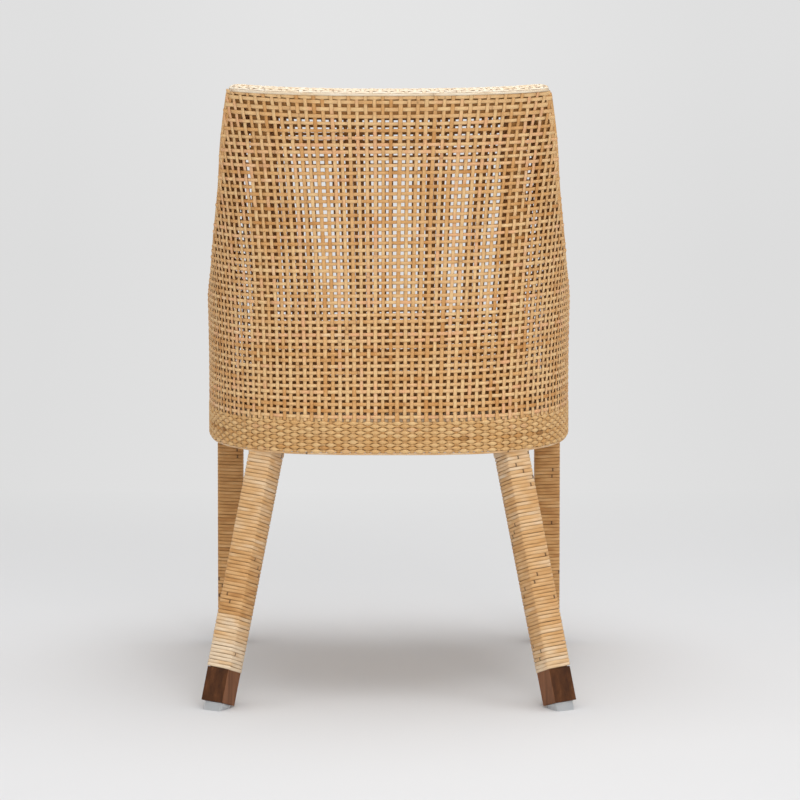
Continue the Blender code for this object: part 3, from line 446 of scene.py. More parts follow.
class Wander:
    """A slow, smooth drift along a strand, the same each time for the same seed."""

    def __init__(self, rng, reach, lengths=SLOW_WAVES):
        self.waves = []
        for length in lengths:
            size = reach * rng.normal() * WAVE_SHARE
            self.waves.append((size, length * rng.uniform(*WAVE_SPREAD), rng.uniform(0, math.tau)))

    def __call__(self, travel):
        return sum(size * np.sin(travel / length * math.tau + phase) for size, length, phase in self.waves)


def swing(share, sharpness=SWING_SHARPNESS):
    """Height of a strip along plain weave: flat over each crossing, quick between them."""
    return np.clip(sharpness * np.cos(np.pi * share), -1, 1)


def read(table, value):
    """A value off a short table, straight between its rows."""
    places, values = zip(*table)
    return np.interp(value, places, values)


def outer_heights():
    """Heights of the outer rows at the middle of the back, from the bottom up."""
    heights = [TOP_ROW]
    while heights[-1] > BAND_TOP + ROW_WIDTH:
        middle = heights[-1] - read(ROW_PITCHES, heights[-1]) / 2
        heights.append(heights[-1] - read(ROW_PITCHES, middle))
    return [float(height) for height in heights[:0:-1] if height > BAND_TOP] + [TOP_ROW, EDGE_ROW]


def inner_heights(outer):
    """Heights of the inner rows, each beside the outer row that it belongs to."""
    heights = []
    for height in outer:
        slide = read(INNER_SLIDES, height) * read(ROW_PITCHES, height)
        heights.append(float(height - read(INNER_DROPS, height) + slide))
    while heights[0] > DECK_TOP + ROW_WIDTH:
        heights.insert(0, 2 * heights[0] - heights[1])
    return [height for height in heights if height > DECK_TOP + ROW_WIDTH / 2]


def outer_stakes(share, height):
    """The run of the outer stake of this number, or of a place between two, at a height."""
    pitch = np.where(np.asarray(share) < 0, read(LEFT_PITCHES, height), read(RIGHT_PITCHES, height))
    return read(MIDDLE_STAKES, height) + share * pitch


def inner_table():
    """Runs of the inner stakes at the top, from the left end to the right."""
    runs = [INNER_START]
    for _ in range(MOST_STAKES):
        runs.append(runs[-1] + read(INNER_PITCHES, runs[-1]))
    for _ in range(MOST_STAKES):
        runs.insert(0, runs[0] - read(INNER_PITCHES, runs[0]))
    return np.arange(-MOST_STAKES, MOST_STAKES + 1), np.array(runs)


INNER_TABLE = inner_table()


def inner_stakes(share, height):
    """The run of the inner stake of this number, or of a place between two, at a height."""
    run = np.interp(share, *INNER_TABLE)
    return INNER_START + (run - INNER_START) * read(INNER_SCALES, height)


def row_bend(run, height):
    """How far a row rises from its height at the middle: with the crest near the top, and with the tilt."""
    blend = np.clip((height - CREST_BEND_START) / CREST_BEND_REACH, 0, 1)
    crest = (crest_height(run) - crest_height(0.0)) * blend * blend * (3 - 2 * blend)
    return crest + np.sign(run) * read(TILTS, height) * read(TILT_SHARES, np.abs(run))


def trimmed(gap):
    """Fractional indices along a strand, from where its gap to the edge opens to where it closes."""
    inside = np.flatnonzero(gap > 0)
    first, last = inside[0], inside[-1]
    places = np.arange(first, last + 1, dtype=float)
    if first > 0:
        places = np.concatenate([[first - gap[first] / (gap[first] - gap[first - 1])], places])
    if last < len(gap) - 1:
        places = np.concatenate([places, [last + gap[last] / (gap[last] - gap[last + 1])]])
    return places


def turned_in(path, out):
    """The strand with its last end bent inward round the edge of the wall."""
    along = unit(path[-1] - path[-2])
    way = out[-1]
    places, ways = [], []
    for angle in map(math.radians, TURN_ANGLES):
        places.append(path[-1] + TURN_RADIUS * (math.sin(angle) * along - (1 - math.cos(angle)) * way))
        ways.append(math.cos(angle) * way + math.sin(angle) * along)
    places.append(places[-1] - TURN_REACH * way)
    ways.append(ways[-1])
    return np.concatenate([path, places]), np.concatenate([out, ways])


class Wall:
    """One woven wall: where its rows and stakes run, and which way its crown faces."""

    def __init__(self, label, depth, facing, heights, across, seed, foot, side_inset):
        self.label, self.depth, self.facing = label, depth, facing
        self.heights, self.across, self.foot = heights, across, foot
        self.thinning = 1.0 if facing > 0 else INNER_THINNING
        self.rng = np.random.default_rng(seed)
        self.limits = edge_limits(CREST_INSET, side_inset)
        self.levels = [2 * heights[0] - heights[1], *heights, 2 * heights[-1] - heights[-2]]

    def room(self, runs, heights):
        """How far inside the edge these places are."""
        edge = np.interp(np.abs(runs), *self.limits)
        return np.minimum(edge - heights, self.limits[0][-1] - np.abs(runs))

    def widths(self, size, travel):
        """A strip's width along it, a little unlike the next strip's."""
        own = self.thinning * size * self.rng.normal(1.0, WIDTH_SPREAD)
        return own * (1 + Wander(self.rng, WIDTH_WANDER)(travel))

    def strand(self, strands, runs, heights, lift, width, turn_first, turn_last):
        """One strip of the wall, with either end turned in round the edge."""
        out = shell_out(runs, heights, self.depth) * self.facing
        path = shell(runs, heights, self.depth - self.facing * lift)
        if turn_last:
            path, out = turned_in(path, out)
        if turn_first:
            path, out = (part[::-1] for part in turned_in(path[::-1], out[::-1]))
        extra = len(path) - len(runs)
        before = extra // 2 if turn_last and turn_first else (extra if turn_first else 0)
        width = np.pad(width, (before, extra - before), mode="edge")
        strands.add(path, out, width, self.rng.uniform(), start=float(self.rng.uniform(*GRAIN_STARTS)))

    def row(self, strands, row):
        """One row, from edge to edge."""
        height = self.heights[row]
        reach = MOST_STAKES * STEPS_PER_CROSSING
        share = np.arange(-reach, reach + 1) / STEPS_PER_CROSSING
        runs = self.across(share, height)
        level = height + row_bend(runs, height) + Wander(self.rng, ROW_WANDER)(runs)
        places = trimmed(self.room(runs, level))
        index = np.arange(len(share))
        share, runs, level = (np.interp(places, index, part) for part in (share, runs, level))
        lift = ROW_SWING * swing(share + row) + Wander(self.rng, ROW_LIFT_WANDER)(runs)
        size = TOP_ROW_WIDTH if row >= len(self.heights) - WIDE_ROWS else ROW_WIDTH
        width = self.widths(size, runs)
        outside = self.facing > 0
        self.strand(strands, runs, level, lift, width, outside, outside)

    def stake(self, strands, index):
        """One stake, from the wall's foot to the edge, if it stands inside the edge at all."""
        count = len(self.heights)
        rows = np.arange(-STEPS_PER_CROSSING, (count + 1) * STEPS_PER_CROSSING) / STEPS_PER_CROSSING
        heights = np.interp(rows, np.arange(-1, count + 1), self.levels)
        runs = self.across(index, heights) + Wander(self.rng, STAKE_WANDER)(heights)
        heights = heights + row_bend(runs, heights)
        room = self.room(runs, heights)
        if not ((room > 0) & (heights > self.foot)).any():
            return
        places = trimmed(room)
        spots = np.arange(len(rows))
        rows, runs, heights = (np.interp(places, spots, part) for part in (rows, runs, heights))
        keep = heights > self.foot + FOOT_GAP
        if keep.sum() < 3:
            return
        rows = np.concatenate([rows[keep][:1] - FOOT_SHARE, rows[keep]])
        runs = np.concatenate([runs[keep][:1], runs[keep]])
        heights = np.concatenate([[self.foot], heights[keep]])
        lift = STAKE_SWING * swing(rows + index + 1)
        width = self.widths(STAKE_WIDTH, heights)
        bare = self.facing > 0 and abs(runs[-1]) > CREST_HALF_RUN
        self.strand(strands, runs, heights, lift, width, False, bare)

    def border(self, strands, side):
        """Two strips side by side just inside the side edge, which the rows turn over."""
        line = rim_line(BORDER_STEP)
        line = line[side * line[:, 0] > CREST_HALF_RUN + BORDER_START]
        inward = softened(inward_of(line), 2)
        for inset in BORDER_INSETS:
            inside = line + inward * inset
            path = shell(inside[:, 0], inside[:, 1], BORDER_DEPTH)
            out = shell_out(inside[:, 0], inside[:, 1], BORDER_DEPTH)
            tint, start = self.rng.uniform(*BORDER_TINTS), self.rng.uniform(*GRAIN_STARTS)
            strands.add(path, out, BORDER_WIDTH, tint, BORDER_THICKNESS, start=float(start))

    def weave(self, finish, slot, *replaced):
        """All of the wall's rows and stakes, in a few pieces."""
        half = MOST_STAKES - 1
        jobs = [("rows", self.row, range(len(self.heights)), PIECE_STRANDS)]
        jobs.append(("stakes", self.stake, range(-half, half + 1), 3 * PIECE_STRANDS))
        if self.facing > 0:
            jobs.append(("border", self.border, (-1, 1), 2))
        for kind, make, numbers, size in jobs:
            for piece, first in enumerate(range(0, len(numbers), size)):
                strands = Strands()
                for number in numbers[first : first + size]:
                    make(strands, number)
                if strands.count:
                    strands.piece(f"{self.label}_{kind}_{piece + 1}", finish, slot, *replaced)


# Base band: close rows round the stakes, and the binding under them
BAND_ROWS = 10
BAND_ROW_PITCH = 0.00429
BAND_ROW_WIDE = 0.0061
BAND_ROW_NARROW = 0.0032
BAND_ROW_THICKNESS = 0.0030
BAND_SWING = 0.0015
BAND_STAKE_WIDTH = 0.0052
BAND_SKIN_DEPTH = 0.0050
BAND_SKIN_TINT = 0.15
BAND_STEPS = 6
BAND_DEPTH = 0.0026
BAND_OFFSET = 0.0017
BAND_SKIN = 0.0006
BINDING_HEIGHT = 0.003
BINDING_THICKNESS = 0.0022
BAND_SEED = 31
BAND_SHARPNESS = 1.12
BAND_ROUNDING = 0.7
BAND_WAVE = 0.00015
BAND_WAVE_LENGTH = 0.09
BAND_WIDTH_SPREAD = 0.02
BAND_STAKE_OVER = 0.002
BAND_STAKE_SHARE = 0.25
# The band's stakes are tinted darker than its rows as painted shade between the rows
BAND_STAKE_SHADE_TINTS = (0.2, 0.6)
BINDING_TINT = 0.8


def base_band(finish, binding_finish):
    """The band's rows, its stakes with a skin behind them, and the binding below."""
    rng = np.random.default_rng(BAND_SEED)
    stakes = round(2 * FRONT_RUN / BAND_STAKE_PITCH)
    stakes += stakes % 2
    share = np.arange(-stakes * BAND_STEPS // 2, stakes * BAND_STEPS // 2) / BAND_STEPS
    pitch = 2 * FRONT_RUN / stakes
    runs = share * pitch + BAND_OFFSET
    runs = np.where(runs > FRONT_RUN, runs - 2 * FRONT_RUN, runs)
    runs = np.where(runs == 0, NUDGE, runs)
    bottom = BASE_BOTTOM + BINDING_HEIGHT
    strands = Strands()
    for row in range(BAND_ROWS):
        beat = swing(share + row, BAND_SHARPNESS)
        wave = BAND_WAVE * np.sin(runs / BAND_WAVE_LENGTH + rng.uniform(0, math.tau))
        level = bottom + BAND_ROW_PITCH * (row + 0.5) + wave
        width = BAND_ROW_NARROW + (BAND_ROW_WIDE - BAND_ROW_NARROW) * np.clip(beat, 0, 1) ** BAND_ROUNDING
        width = width * rng.normal(1, BAND_WIDTH_SPREAD)
        depth = BAND_DEPTH - BAND_SWING * beat
        tint, start = rng.uniform(), rng.uniform(*GRAIN_STARTS)
        strands.lay(runs, level, depth, width, tint, BAND_ROW_THICKNESS, True, start)
    strands.piece("band_rows", finish, "woven_peel_band", "base_band")
    strands = Strands()
    heights = np.linspace(bottom, BAND_TOP + BAND_STAKE_OVER, 2 * BAND_ROWS + 1)
    for index in range(stakes):
        run = (index - stakes // 2) * pitch + BAND_OFFSET
        run -= 2 * FRONT_RUN * (run > FRONT_RUN)
        beat = swing((heights - bottom) / BAND_ROW_PITCH - 0.5 + index)
        depth = BAND_DEPTH + BAND_SWING * BAND_STAKE_SHARE * beat
        # Painted shade: the stakes take the darker part of the tints
        tint, start = rng.uniform(*BAND_STAKE_SHADE_TINTS), rng.uniform(*GRAIN_STARTS)
        strands.lay(run, heights, depth, BAND_STAKE_WIDTH, tint, start=start)
    height = BAND_ROW_PITCH * BAND_ROWS
    strands.lay(runs, bottom + height / 2, BAND_SKIN_DEPTH, height, BAND_SKIN_TINT, BAND_SKIN, True)
    strands.piece("band_stakes", finish, "woven_peel_band", "base_band")
    strands = Strands()
    level = BASE_BOTTOM + BINDING_HEIGHT / 2
    strands.lay(runs, level, BAND_DEPTH, BINDING_HEIGHT, BINDING_TINT, BINDING_THICKNESS, True)
    strands.piece("band_binding", binding_finish, "peel_binding", "bottom_binding")


# Border along the seat's open front: the depth and tint of its two strips
SEAT_BORDERS = ((0.0012, 0.7), (0.0034, 0.4))
SEAT_BORDER_RISE = 0.0012
SEAT_BORDER_SWING = 0.0007
SEAT_BORDER_LAP = 0.0006
SEAT_BORDER_THICKNESS = 0.0018


def seat_front_border(finish):
    """Two strips that close the slit between the band and the seat's deck."""
    strands = Strands()
    half = np.arange(SIDE_RUN - INNER_WALL_DEPTH / 2, FRONT_RUN, BAND_STAKE_PITCH / STEPS_PER_CROSSING)
    front = np.concatenate([half, -half[::-1]])
    gap = DECK_TOP + SEAT_BORDER_RISE - BAND_TOP
    for row, (depth, tint) in enumerate(SEAT_BORDERS):
        beat = swing(half / BAND_STAKE_PITCH + row)
        place_depth = depth - SEAT_BORDER_SWING * np.concatenate([beat, beat[::-1]])
        width = gap + SEAT_BORDER_LAP
        strands.lay(front, BAND_TOP + gap / 2, place_depth, width, tint, SEAT_BORDER_THICKNESS)
    strands.piece("seat_front_border", finish, "peel_binding")


# Rim: close strips along it (each one's place across the rim and its width), crossed by strips over it
RIM_STRIPS = (
    (0.0017, 0.0036), (0.0054, 0.0030), (0.0096, 0.0038), (0.0151, 0.0052), (0.0211, 0.0052),
    (0.0271, 0.0052), (0.0328, 0.0048), (0.0383, 0.0048),
)
RIM_OUTER_DROP = 0.0086
RIM_COLUMNS = 36
RIM_CROSS_WIDTH = 0.0058
RIM_SWING = 0.0004
RIM_SKIN_DEPTH = 0.0011
RIM_SKIN = 0.0014
RIM_ROUNDNESS = 2.6
RIM_SIDE_DEPTH = 0.0040
RIM_SIDE_INSET = 0.0012
RIM_CORNER_FADE = 0.012
# Rim tints: painted top light on the crest, fading to painted shade on the sides
SIDE_SHADE_TINT = -0.7
RIM_SEED = 47
RIM_SAMPLES = 181
CREST_LIGHT_TINT = 0.8
RIM_LIGHT_FADE = (-0.004, 0.012)
RIM_STRIP_TINTS = (-0.3, 0.2)
RIM_CROSS_TINTS = (-0.4, 0.2)
RIM_CROSS_WIDTHS = (0.75, 1.2)
RIM_FIRST_CROSSING = 0.6


def rim_grid():
    """Places on the rim's arch and the way out of it, along the rim and across it, one row per step along.

    Over the crest the arch hangs down the outside; past the corners it stays behind the outer weave's edge.
    """
    line = softened(rim_line(BAND_STAKE_PITCH / STEPS_PER_CROSSING), 3)
    inward = unit(softened(inward_of(line), 3))
    angle = np.linspace(0, math.pi, RIM_SAMPLES)
    width = INNER_WALL_DEPTH + WALL_THICKNESS
    power = 2 / RIM_ROUNDNESS
    arch_depth = width / 2 * (1 - np.sign(np.cos(angle)) * np.abs(np.cos(angle)) ** power)
    drop = np.where(angle < math.pi / 2, RIM_OUTER_DROP, RIM_DROP)
    arch_inset = drop * (1 - np.abs(np.sin(angle)) ** power)
    lengths = np.concatenate([[0], np.cumsum(np.hypot(np.diff(arch_depth), np.diff(arch_inset)))])
    places = np.linspace(0, lengths[-1], RIM_COLUMNS + 1)
    depth = np.interp(places, lengths, arch_depth)
    inset = np.interp(places, lengths, arch_inset)
    corner = (CREST_HALF_RUN - RIM_CORNER_FADE, CREST_HALF_RUN + RIM_CORNER_FADE)
    aside = np.interp(np.abs(line[:, :1]), corner, (0.0, 1.0))
    depth = depth + aside * RIM_SIDE_DEPTH * (1 - depth / width)
    inset = inset + aside * RIM_SIDE_INSET
    grid = shell(line[:, :1] + inward[:, :1] * inset, line[:, 1:] + inward[:, 1:] * inset, depth)
    heart = shell(line[:, :1] + inward[:, :1] * RIM_DROP, line[:, 1:] + inward[:, 1:] * RIM_DROP, width / 2)
    out = np.cross(np.gradient(grid, axis=0), np.gradient(grid, axis=1))
    out *= np.sign((out * (grid - heart)).sum(axis=-1, keepdims=True))
    return grid, unit(out), line, places


def rim(finish, shaded_skin_finish):
    """The strips along the rim, the strips that cross them, and a skin under both, painted dark as the shade
    in the gaps between them.
    """
    rng = np.random.default_rng(RIM_SEED)
    grid, out, line, places = rim_grid()
    count = len(grid)
    strips, crosses = Strands(), Strands()
    steps = np.arange(count) / STEPS_PER_CROSSING
    # Painted light and shade: pale on the crest, dark past the corners
    light_fade = [CREST_HALF_RUN + reach for reach in RIM_LIGHT_FADE]
    tints = np.interp(np.abs(line[:, 0]), light_fade, (CREST_LIGHT_TINT, SIDE_SHADE_TINT))
    for strip, (spot, width) in enumerate(RIM_STRIPS):
        column = int(np.argmin(np.abs(places - spot)))
        beat = swing(steps + strip) if strip else np.full(count, 0.5)
        path = grid[:, column] + out[:, column] * RIM_SWING * beat[:, None]
        widths = width * (1 + Wander(rng, WIDTH_WANDER)(steps * BAND_STAKE_PITCH))
        strip_tints = tints + rng.uniform(*RIM_STRIP_TINTS)
        strips.add(path, out[:, column], widths, strip_tints, start=rng.uniform(*GRAIN_STARTS))
    strips.piece("rim_strips", finish, "peel_binding", "rim_binding")
    across = np.interp(places, [spot for spot, _ in RIM_STRIPS], range(len(RIM_STRIPS)))
    first = int(np.argmin(np.abs(places - RIM_STRIPS[0][0])))
    for index in range(0, count, STEPS_PER_CROSSING):
        lift = -RIM_SWING * swing(across + index // STEPS_PER_CROSSING)[:, None]
        lift[across < RIM_FIRST_CROSSING] = -RIM_SWING
        path = grid[index] + out[index] * lift
        width = RIM_CROSS_WIDTH * rng.uniform(*RIM_CROSS_WIDTHS)
        tint = tints[index] + rng.uniform(*RIM_CROSS_TINTS)
        crosses.add(path[first:], out[index][first:], width, tint, start=rng.uniform(*GRAIN_STARTS))
    crosses.piece("rim_crossings", finish, "peel_binding", "rim_binding")
    upper = grid - out * RIM_SKIN_DEPTH
    under = grid - out * (RIM_SKIN_DEPTH + RIM_SKIN)
    rings = np.concatenate([upper, under[:, ::-1]], axis=1)
    # Painted shade: the dark skin shows in the gaps between the strips
    place("rim_skin", tube_mesh("rim_skin", rings), shaded_skin_finish, "peel_binding", "rim_binding")


# Legs, as the frame has them, and the peel wound round them
LEG_TURN = math.radians(29)
REAR_LEG_AROUND = 0.2345
REAR_LEG_DEPTH = 0.0209
REAR_SPLAY_ACROSS = 0.0657
REAR_SPLAY_BACK = 0.0873
REAR_CORE_TOP = 0.0330
REAR_CORE_FOOT = 0.0308
FRONT_CORE_TOP = 0.0338
FRONT_CORE_FOOT = 0.0308
FRONT_LEG_INSET = 0.0054
CAP_HEIGHT = 0.0465
CAP_LIFT = 0.0078
CAP_HALF = 0.0168
CAP_EDGE = 0.0004
WRAP_PITCH = 0.0049
WRAP_WIDTH = 0.0048
WRAP_THICKNESS = 0.0016
WRAP_LIFT = 0.0010
WRAP_ROUNDING = 0.13
WRAP_STEPS = 16
COLLAR = 0.008
# Wrap tints by height: the pale turns near the feet are the peel's own; the rear left wrap is painted darker
# as shade, the rear right lighter as painted light
REAR_LEFT_TONE_AND_SHADE_TINTS = (
    (0.0, 1.5), (0.13, 1.4), (0.15, 0.8), (0.20, 0.9), (0.215, 0.2), (0.45, 0.3), (0.60, 0.55), (0.80, 0.8),
    (1.0, 0.95),
)
REAR_RIGHT_TONE_AND_LIGHT_TINTS = ((0.0, 1.1), (0.05, 0.75), (0.3, 0.5), (0.6, 0.55), (0.8, 0.8), (1.0, 0.95))
# The front legs' wraps are painted darker as the shade under the seat
FRONT_SHADE_TINTS = ((0.0, 0.3), (0.3, 0.0), (1.0, 0.0))
WRAP_SEED = 60
WRAP_LAP = 0.2
WRAP_GAP = 0.0003
WRAP_LEANS = (0.0, 0.0, math.pi / 12, math.pi / 4)
WRAP_TURN_LENGTH = 0.135
WRAP_PITCH_WANDER = (0.00019, (0.31, 0.123, 0.047))
WRAP_WIDTH_WANDER = (0.045, (0.4, 0.19, 0.083))
WRAP_TINTS = (-0.12, 0.12)
SPLICE_TURNS = 3


class Leg:
    """A leg's axis, from its foot up, with the frame that its faces follow."""

    def __init__(self, label, side, foot, top, turn, core_foot, core_top, tints):
        self.label, self.side, self.tints = label, side, tints
        self.core_foot, self.core_top = core_foot, core_top
        self.foot = Vector(foot)
        rise = Vector(top) - self.foot
        self.length = rise.length
        up = rise.normalized()
        facing = Vector((math.cos(turn), math.sin(turn), 0))
        across = (facing - up * facing.dot(up)).normalized()
        self.frame = Matrix((across, up.cross(across), up)).transposed()

    def half(self, distance):
        """Half the core's width at a distance up the leg."""
        return (self.core_foot + (self.core_top - self.core_foot) * distance / self.length) / 2

    def way(self, local):
        return np.asarray(local) @ np.array(self.frame).T

    def world(self, local):
        return self.way(local) + np.array(self.foot)

    def mirrored(self, flat, height):
        """Flat places round the leg at this height, turned over for a leg on the left."""
        return np.column_stack([flat, np.broadcast_to(height, len(flat))]) * (self.side, 1, 1)


def make_legs():
    """The four legs' axes, the rear pair splayed outward and back."""
    legs = []
    for label, side, tints in (("left", -1, REAR_LEFT_TONE_AND_SHADE_TINTS), ("right", 1, REAR_RIGHT_TONE_AND_LIGHT_TINTS)):
        top = shell(side * (BACK_RUN - REAR_LEG_AROUND), BASE_BOTTOM, REAR_LEG_DEPTH)
        foot = (top[0] + side * REAR_SPLAY_ACROSS, top[1] - REAR_SPLAY_BACK, CAP_LIFT)
        core = (REAR_CORE_FOOT, REAR_CORE_TOP)
        legs.append(Leg(f"rear_{label}", side, foot, top, side * LEG_TURN, *core, tints))
    for label, side in (("left", -1), ("right", 1)):
        outer = SHELL_HALF_WIDTH - FRONT_LEG_INSET
        y = SHELL_FRONT_REACH - FRONT_LEG_INSET - FRONT_CORE_TOP / 2 + MIDDLE_Y
        foot = (side * (outer - FRONT_CORE_FOOT / 2), y, CAP_LIFT)
        top = (side * (outer - FRONT_CORE_TOP / 2), y, BASE_BOTTOM)
        core = (FRONT_CORE_FOOT, FRONT_CORE_TOP)
        legs.append(Leg(f"front_{label}", side, foot, top, 0, *core, FRONT_SHADE_TINTS))
    return legs


def wrap_corners(half, radius):
    """Sixteen places round a square with round corners, and the way out at each."""
    flat = half - radius
    corner = half - radius * (1 - math.sqrt(0.5))
    spots = [(half, -flat / 2), (half, flat / 2), (half, flat), (corner, corner)]
    places, outs = [], []
    for quarter in range(4):
        turn = quarter * math.pi / 2
        for (x, y), lean in zip(spots, WRAP_LEANS):
            places.append((x * math.cos(turn) - y * math.sin(turn), x * math.sin(turn) + y * math.cos(turn)))
            outs.append((math.cos(turn + lean), math.sin(turn + lean)))
    return np.array(places), np.array(outs)


def leg_wrap(leg, finish, seed):
    """Peel wound up the leg, turn against turn, in splices, with a collar at the top."""
    rng = np.random.default_rng(seed)
    start = CAP_HEIGHT - WRAP_WIDTH * WRAP_LAP
    count = int((leg.length - COLLAR - start) / WRAP_PITCH * WRAP_STEPS)
    step = np.arange(count)
    travel = step / WRAP_STEPS * WRAP_TURN_LENGTH
    distance = start + WRAP_PITCH * step / WRAP_STEPS
    distance += Wander(rng, *WRAP_PITCH_WANDER)(travel)
    corners, outs = wrap_corners(1.0, WRAP_ROUNDING)
    spread = leg.half(distance) + WRAP_THICKNESS / 2 + WRAP_GAP + WRAP_LIFT * (1 - distance / leg.length)
    path = leg.world(leg.mirrored(corners[step % WRAP_STEPS] * spread[:, None], distance))
    way = leg.way(leg.mirrored(outs[step % WRAP_STEPS], 0))
    width = WRAP_WIDTH * (1 + Wander(rng, *WRAP_WIDTH_WANDER)(travel))
    strands = Strands()
    splice = SPLICE_TURNS * WRAP_STEPS
    for first in range(0, count - 2, splice):
        part = slice(first, min(first + splice + 1, count))
        tint = float(read(leg.tints, first / count)) + rng.uniform(*WRAP_TINTS)
        start = rng.uniform(*GRAIN_STARTS)
        strands.add(path[part], way[part], width[part], tint, WRAP_THICKNESS, start=start)
    reach = leg.half(leg.length) + WRAP_THICKNESS
    collar = leg.world(leg.mirrored(corners * reach, leg.length - COLLAR / 2))
    way = leg.way(leg.mirrored(outs, 0))
    strands.add(collar, way, COLLAR, 1.0, WRAP_THICKNESS, True, rng.uniform(*GRAIN_STARTS))
    strands.piece(f"{leg.label}_wrap", finish, "peel_winding", f"{leg.label}_leg_winding")


def foot_cap(leg, finish):
    """A sharp-edged block of wood on the foot."""
    edge, half = CAP_EDGE, CAP_HALF
    corner = [(half, -half + edge), (half, half - edge), (half - edge, half), (-half + edge, half)]
    ring = np.array(corner + [(-x, -y) for x, y in corner])
    levels = ((0, half - edge), (edge, half), (CAP_HEIGHT - edge, half), (CAP_HEIGHT, half - edge))
    rings = [np.column_stack([ring * size / half, np.full(len(ring), level)]) for level, size in levels]
    mesh = tube_mesh(f"{leg.label}_cap", leg.world(rings))
    mesh.shade_flat()
    place(f"{leg.label}_cap", mesh, finish, "foot_cap_wood", f"{leg.label}_foot_cap")


class Finish:
    """A procedural material being built."""

    def __init__(self, name, **sockets):
        self.material = bpy.data.materials.new(name)
        self.material.use_nodes = True
        self.tree = self.material.node_tree
        self.shader = self.tree.nodes["Principled BSDF"]
        for socket, value in sockets.items():
            self.shader.inputs[socket.replace("_", " ")].default_value = value

    def node(self, kind, inputs=None, **settings):
        made = self.tree.nodes.new(kind)
        for name, value in settings.items():
            setattr(made, name, value)
        for name, value in (inputs or {}).items():
            self.feed(made.inputs[name], value)
        return made

    def feed(self, socket, value):
        if isinstance(value, bpy.types.NodeSocket):
            self.tree.links.new(value, socket)
        else:
            socket.default_value = value

    def math(self, operation, first, second=0.0, clamp=False):
        made = self.node("ShaderNodeMath", {0: first, 1: second}, operation=operation, use_clamp=clamp)
        return made.outputs[0]

    def times(self, first, second):
        return self.math("MULTIPLY", first, second)

    def plus(self, first, second):
        return self.math("ADD", first, second)

    def scaled(self, parts, scales):
        """A vector of these parts, each times its scale."""
        return self.vector(*[self.times(part, scale) for part, scale in zip(parts, scales)])

    def vector(self, x, y, z):
        return self.node("ShaderNodeCombineXYZ", {0: x, 1: y, 2: z}).outputs[0]

    def noise(self, place, scale=1.0, detail=3.0, roughness=0.5):
        inputs = {"Vector": place, "Scale": scale, "Detail": detail, "Roughness": roughness}
        return self.node("ShaderNodeTexNoise", inputs).outputs["Fac"]

    def ramp(self, factor, stops):
        made = self.node("ShaderNodeValToRGB", {"Fac": factor})
        while len(made.color_ramp.elements) < len(stops):
            made.color_ramp.elements.new(0.5)
        for element, (spot, colour) in zip(made.color_ramp.elements, stops):
            element.position = spot
            element.color = (*colour, 1)
        return made.outputs["Color"]

    def spread(self, value, low, high, to_low=0.0, to_high=1.0):
        inputs = {"Value": value, "From Min": low, "From Max": high, "To Min": to_low, "To Max": to_high}
        return self.node("ShaderNodeMapRange", inputs).outputs["Result"]

    def mix(self, factor, first, second, blend="MIX"):
        made = self.node("ShaderNodeMix", data_type="RGBA", blend_type=blend)
        for socket, value in zip((0, 6, 7), (factor, first, second)):
            self.feed(made.inputs[socket], value)
        return made.outputs[2]

    def object_place(self):
        place = self.node("ShaderNodeTexCoord").outputs["Object"]
        return self.node("ShaderNodeSeparateXYZ", {0: place}).outputs

    def finish(self, colour, roughness=None, height=None, distance=0.0001):
        self.feed(self.shader.inputs["Base Color"], colour)
        if roughness is not None:
            self.feed(self.shader.inputs["Roughness"], roughness)
        if height is not None:
            bump = self.node("ShaderNodeBump", {"Height": height, "Distance": distance, "Strength": 1.0})
            self.feed(self.shader.inputs["Normal"], bump.outputs[0])
        return self.material


# Looks that the finishes share, and those of peel: its streaks, drifting tones, edges darkened as painted
# shade, nodes, and its skin over an underside painted dark as shade
NOISE_RANGE = (0.3, 0.7)
PEEL_GLOSS = 0.32
LANE_STEP = 71.0
DRIFT_SCALE = 24.0
DRIFT_TONES = (0.0, 0.5)
STREAK_SCALES = (55.0, 7.0)
STREAK_ROUGHNESS = 0.65
STREAK_TONES = (0.78, 1.10)
# Painted shade along each strip's edges, where it meets the next one
EDGE_SHADE_POWER = 5.0
EDGE_SHADE_SHARE = 0.45
EDGE_SHADE_COLOUR = (0.32, 0.15, 0.05, 1)
NODES_PER_METRE = 3.6
NODE_REACH = (0.0015, 0.0060)
HALO_REACH = (0.0, 0.045)
HALO_SHARE = 0.25
HALO_COLOUR = (0.42, 0.20, 0.07, 1)
# Painted shade on the strips' hidden side: the under colour, and this much darker along the streaks
UNDERSIDE_SHADE_SCALE = 0.75
SKIN_RANGE = (0.35, 0.75)
PEEL_ROUGHNESS = (0.45, 0.65)
PEEL_BUMP = 0.00012


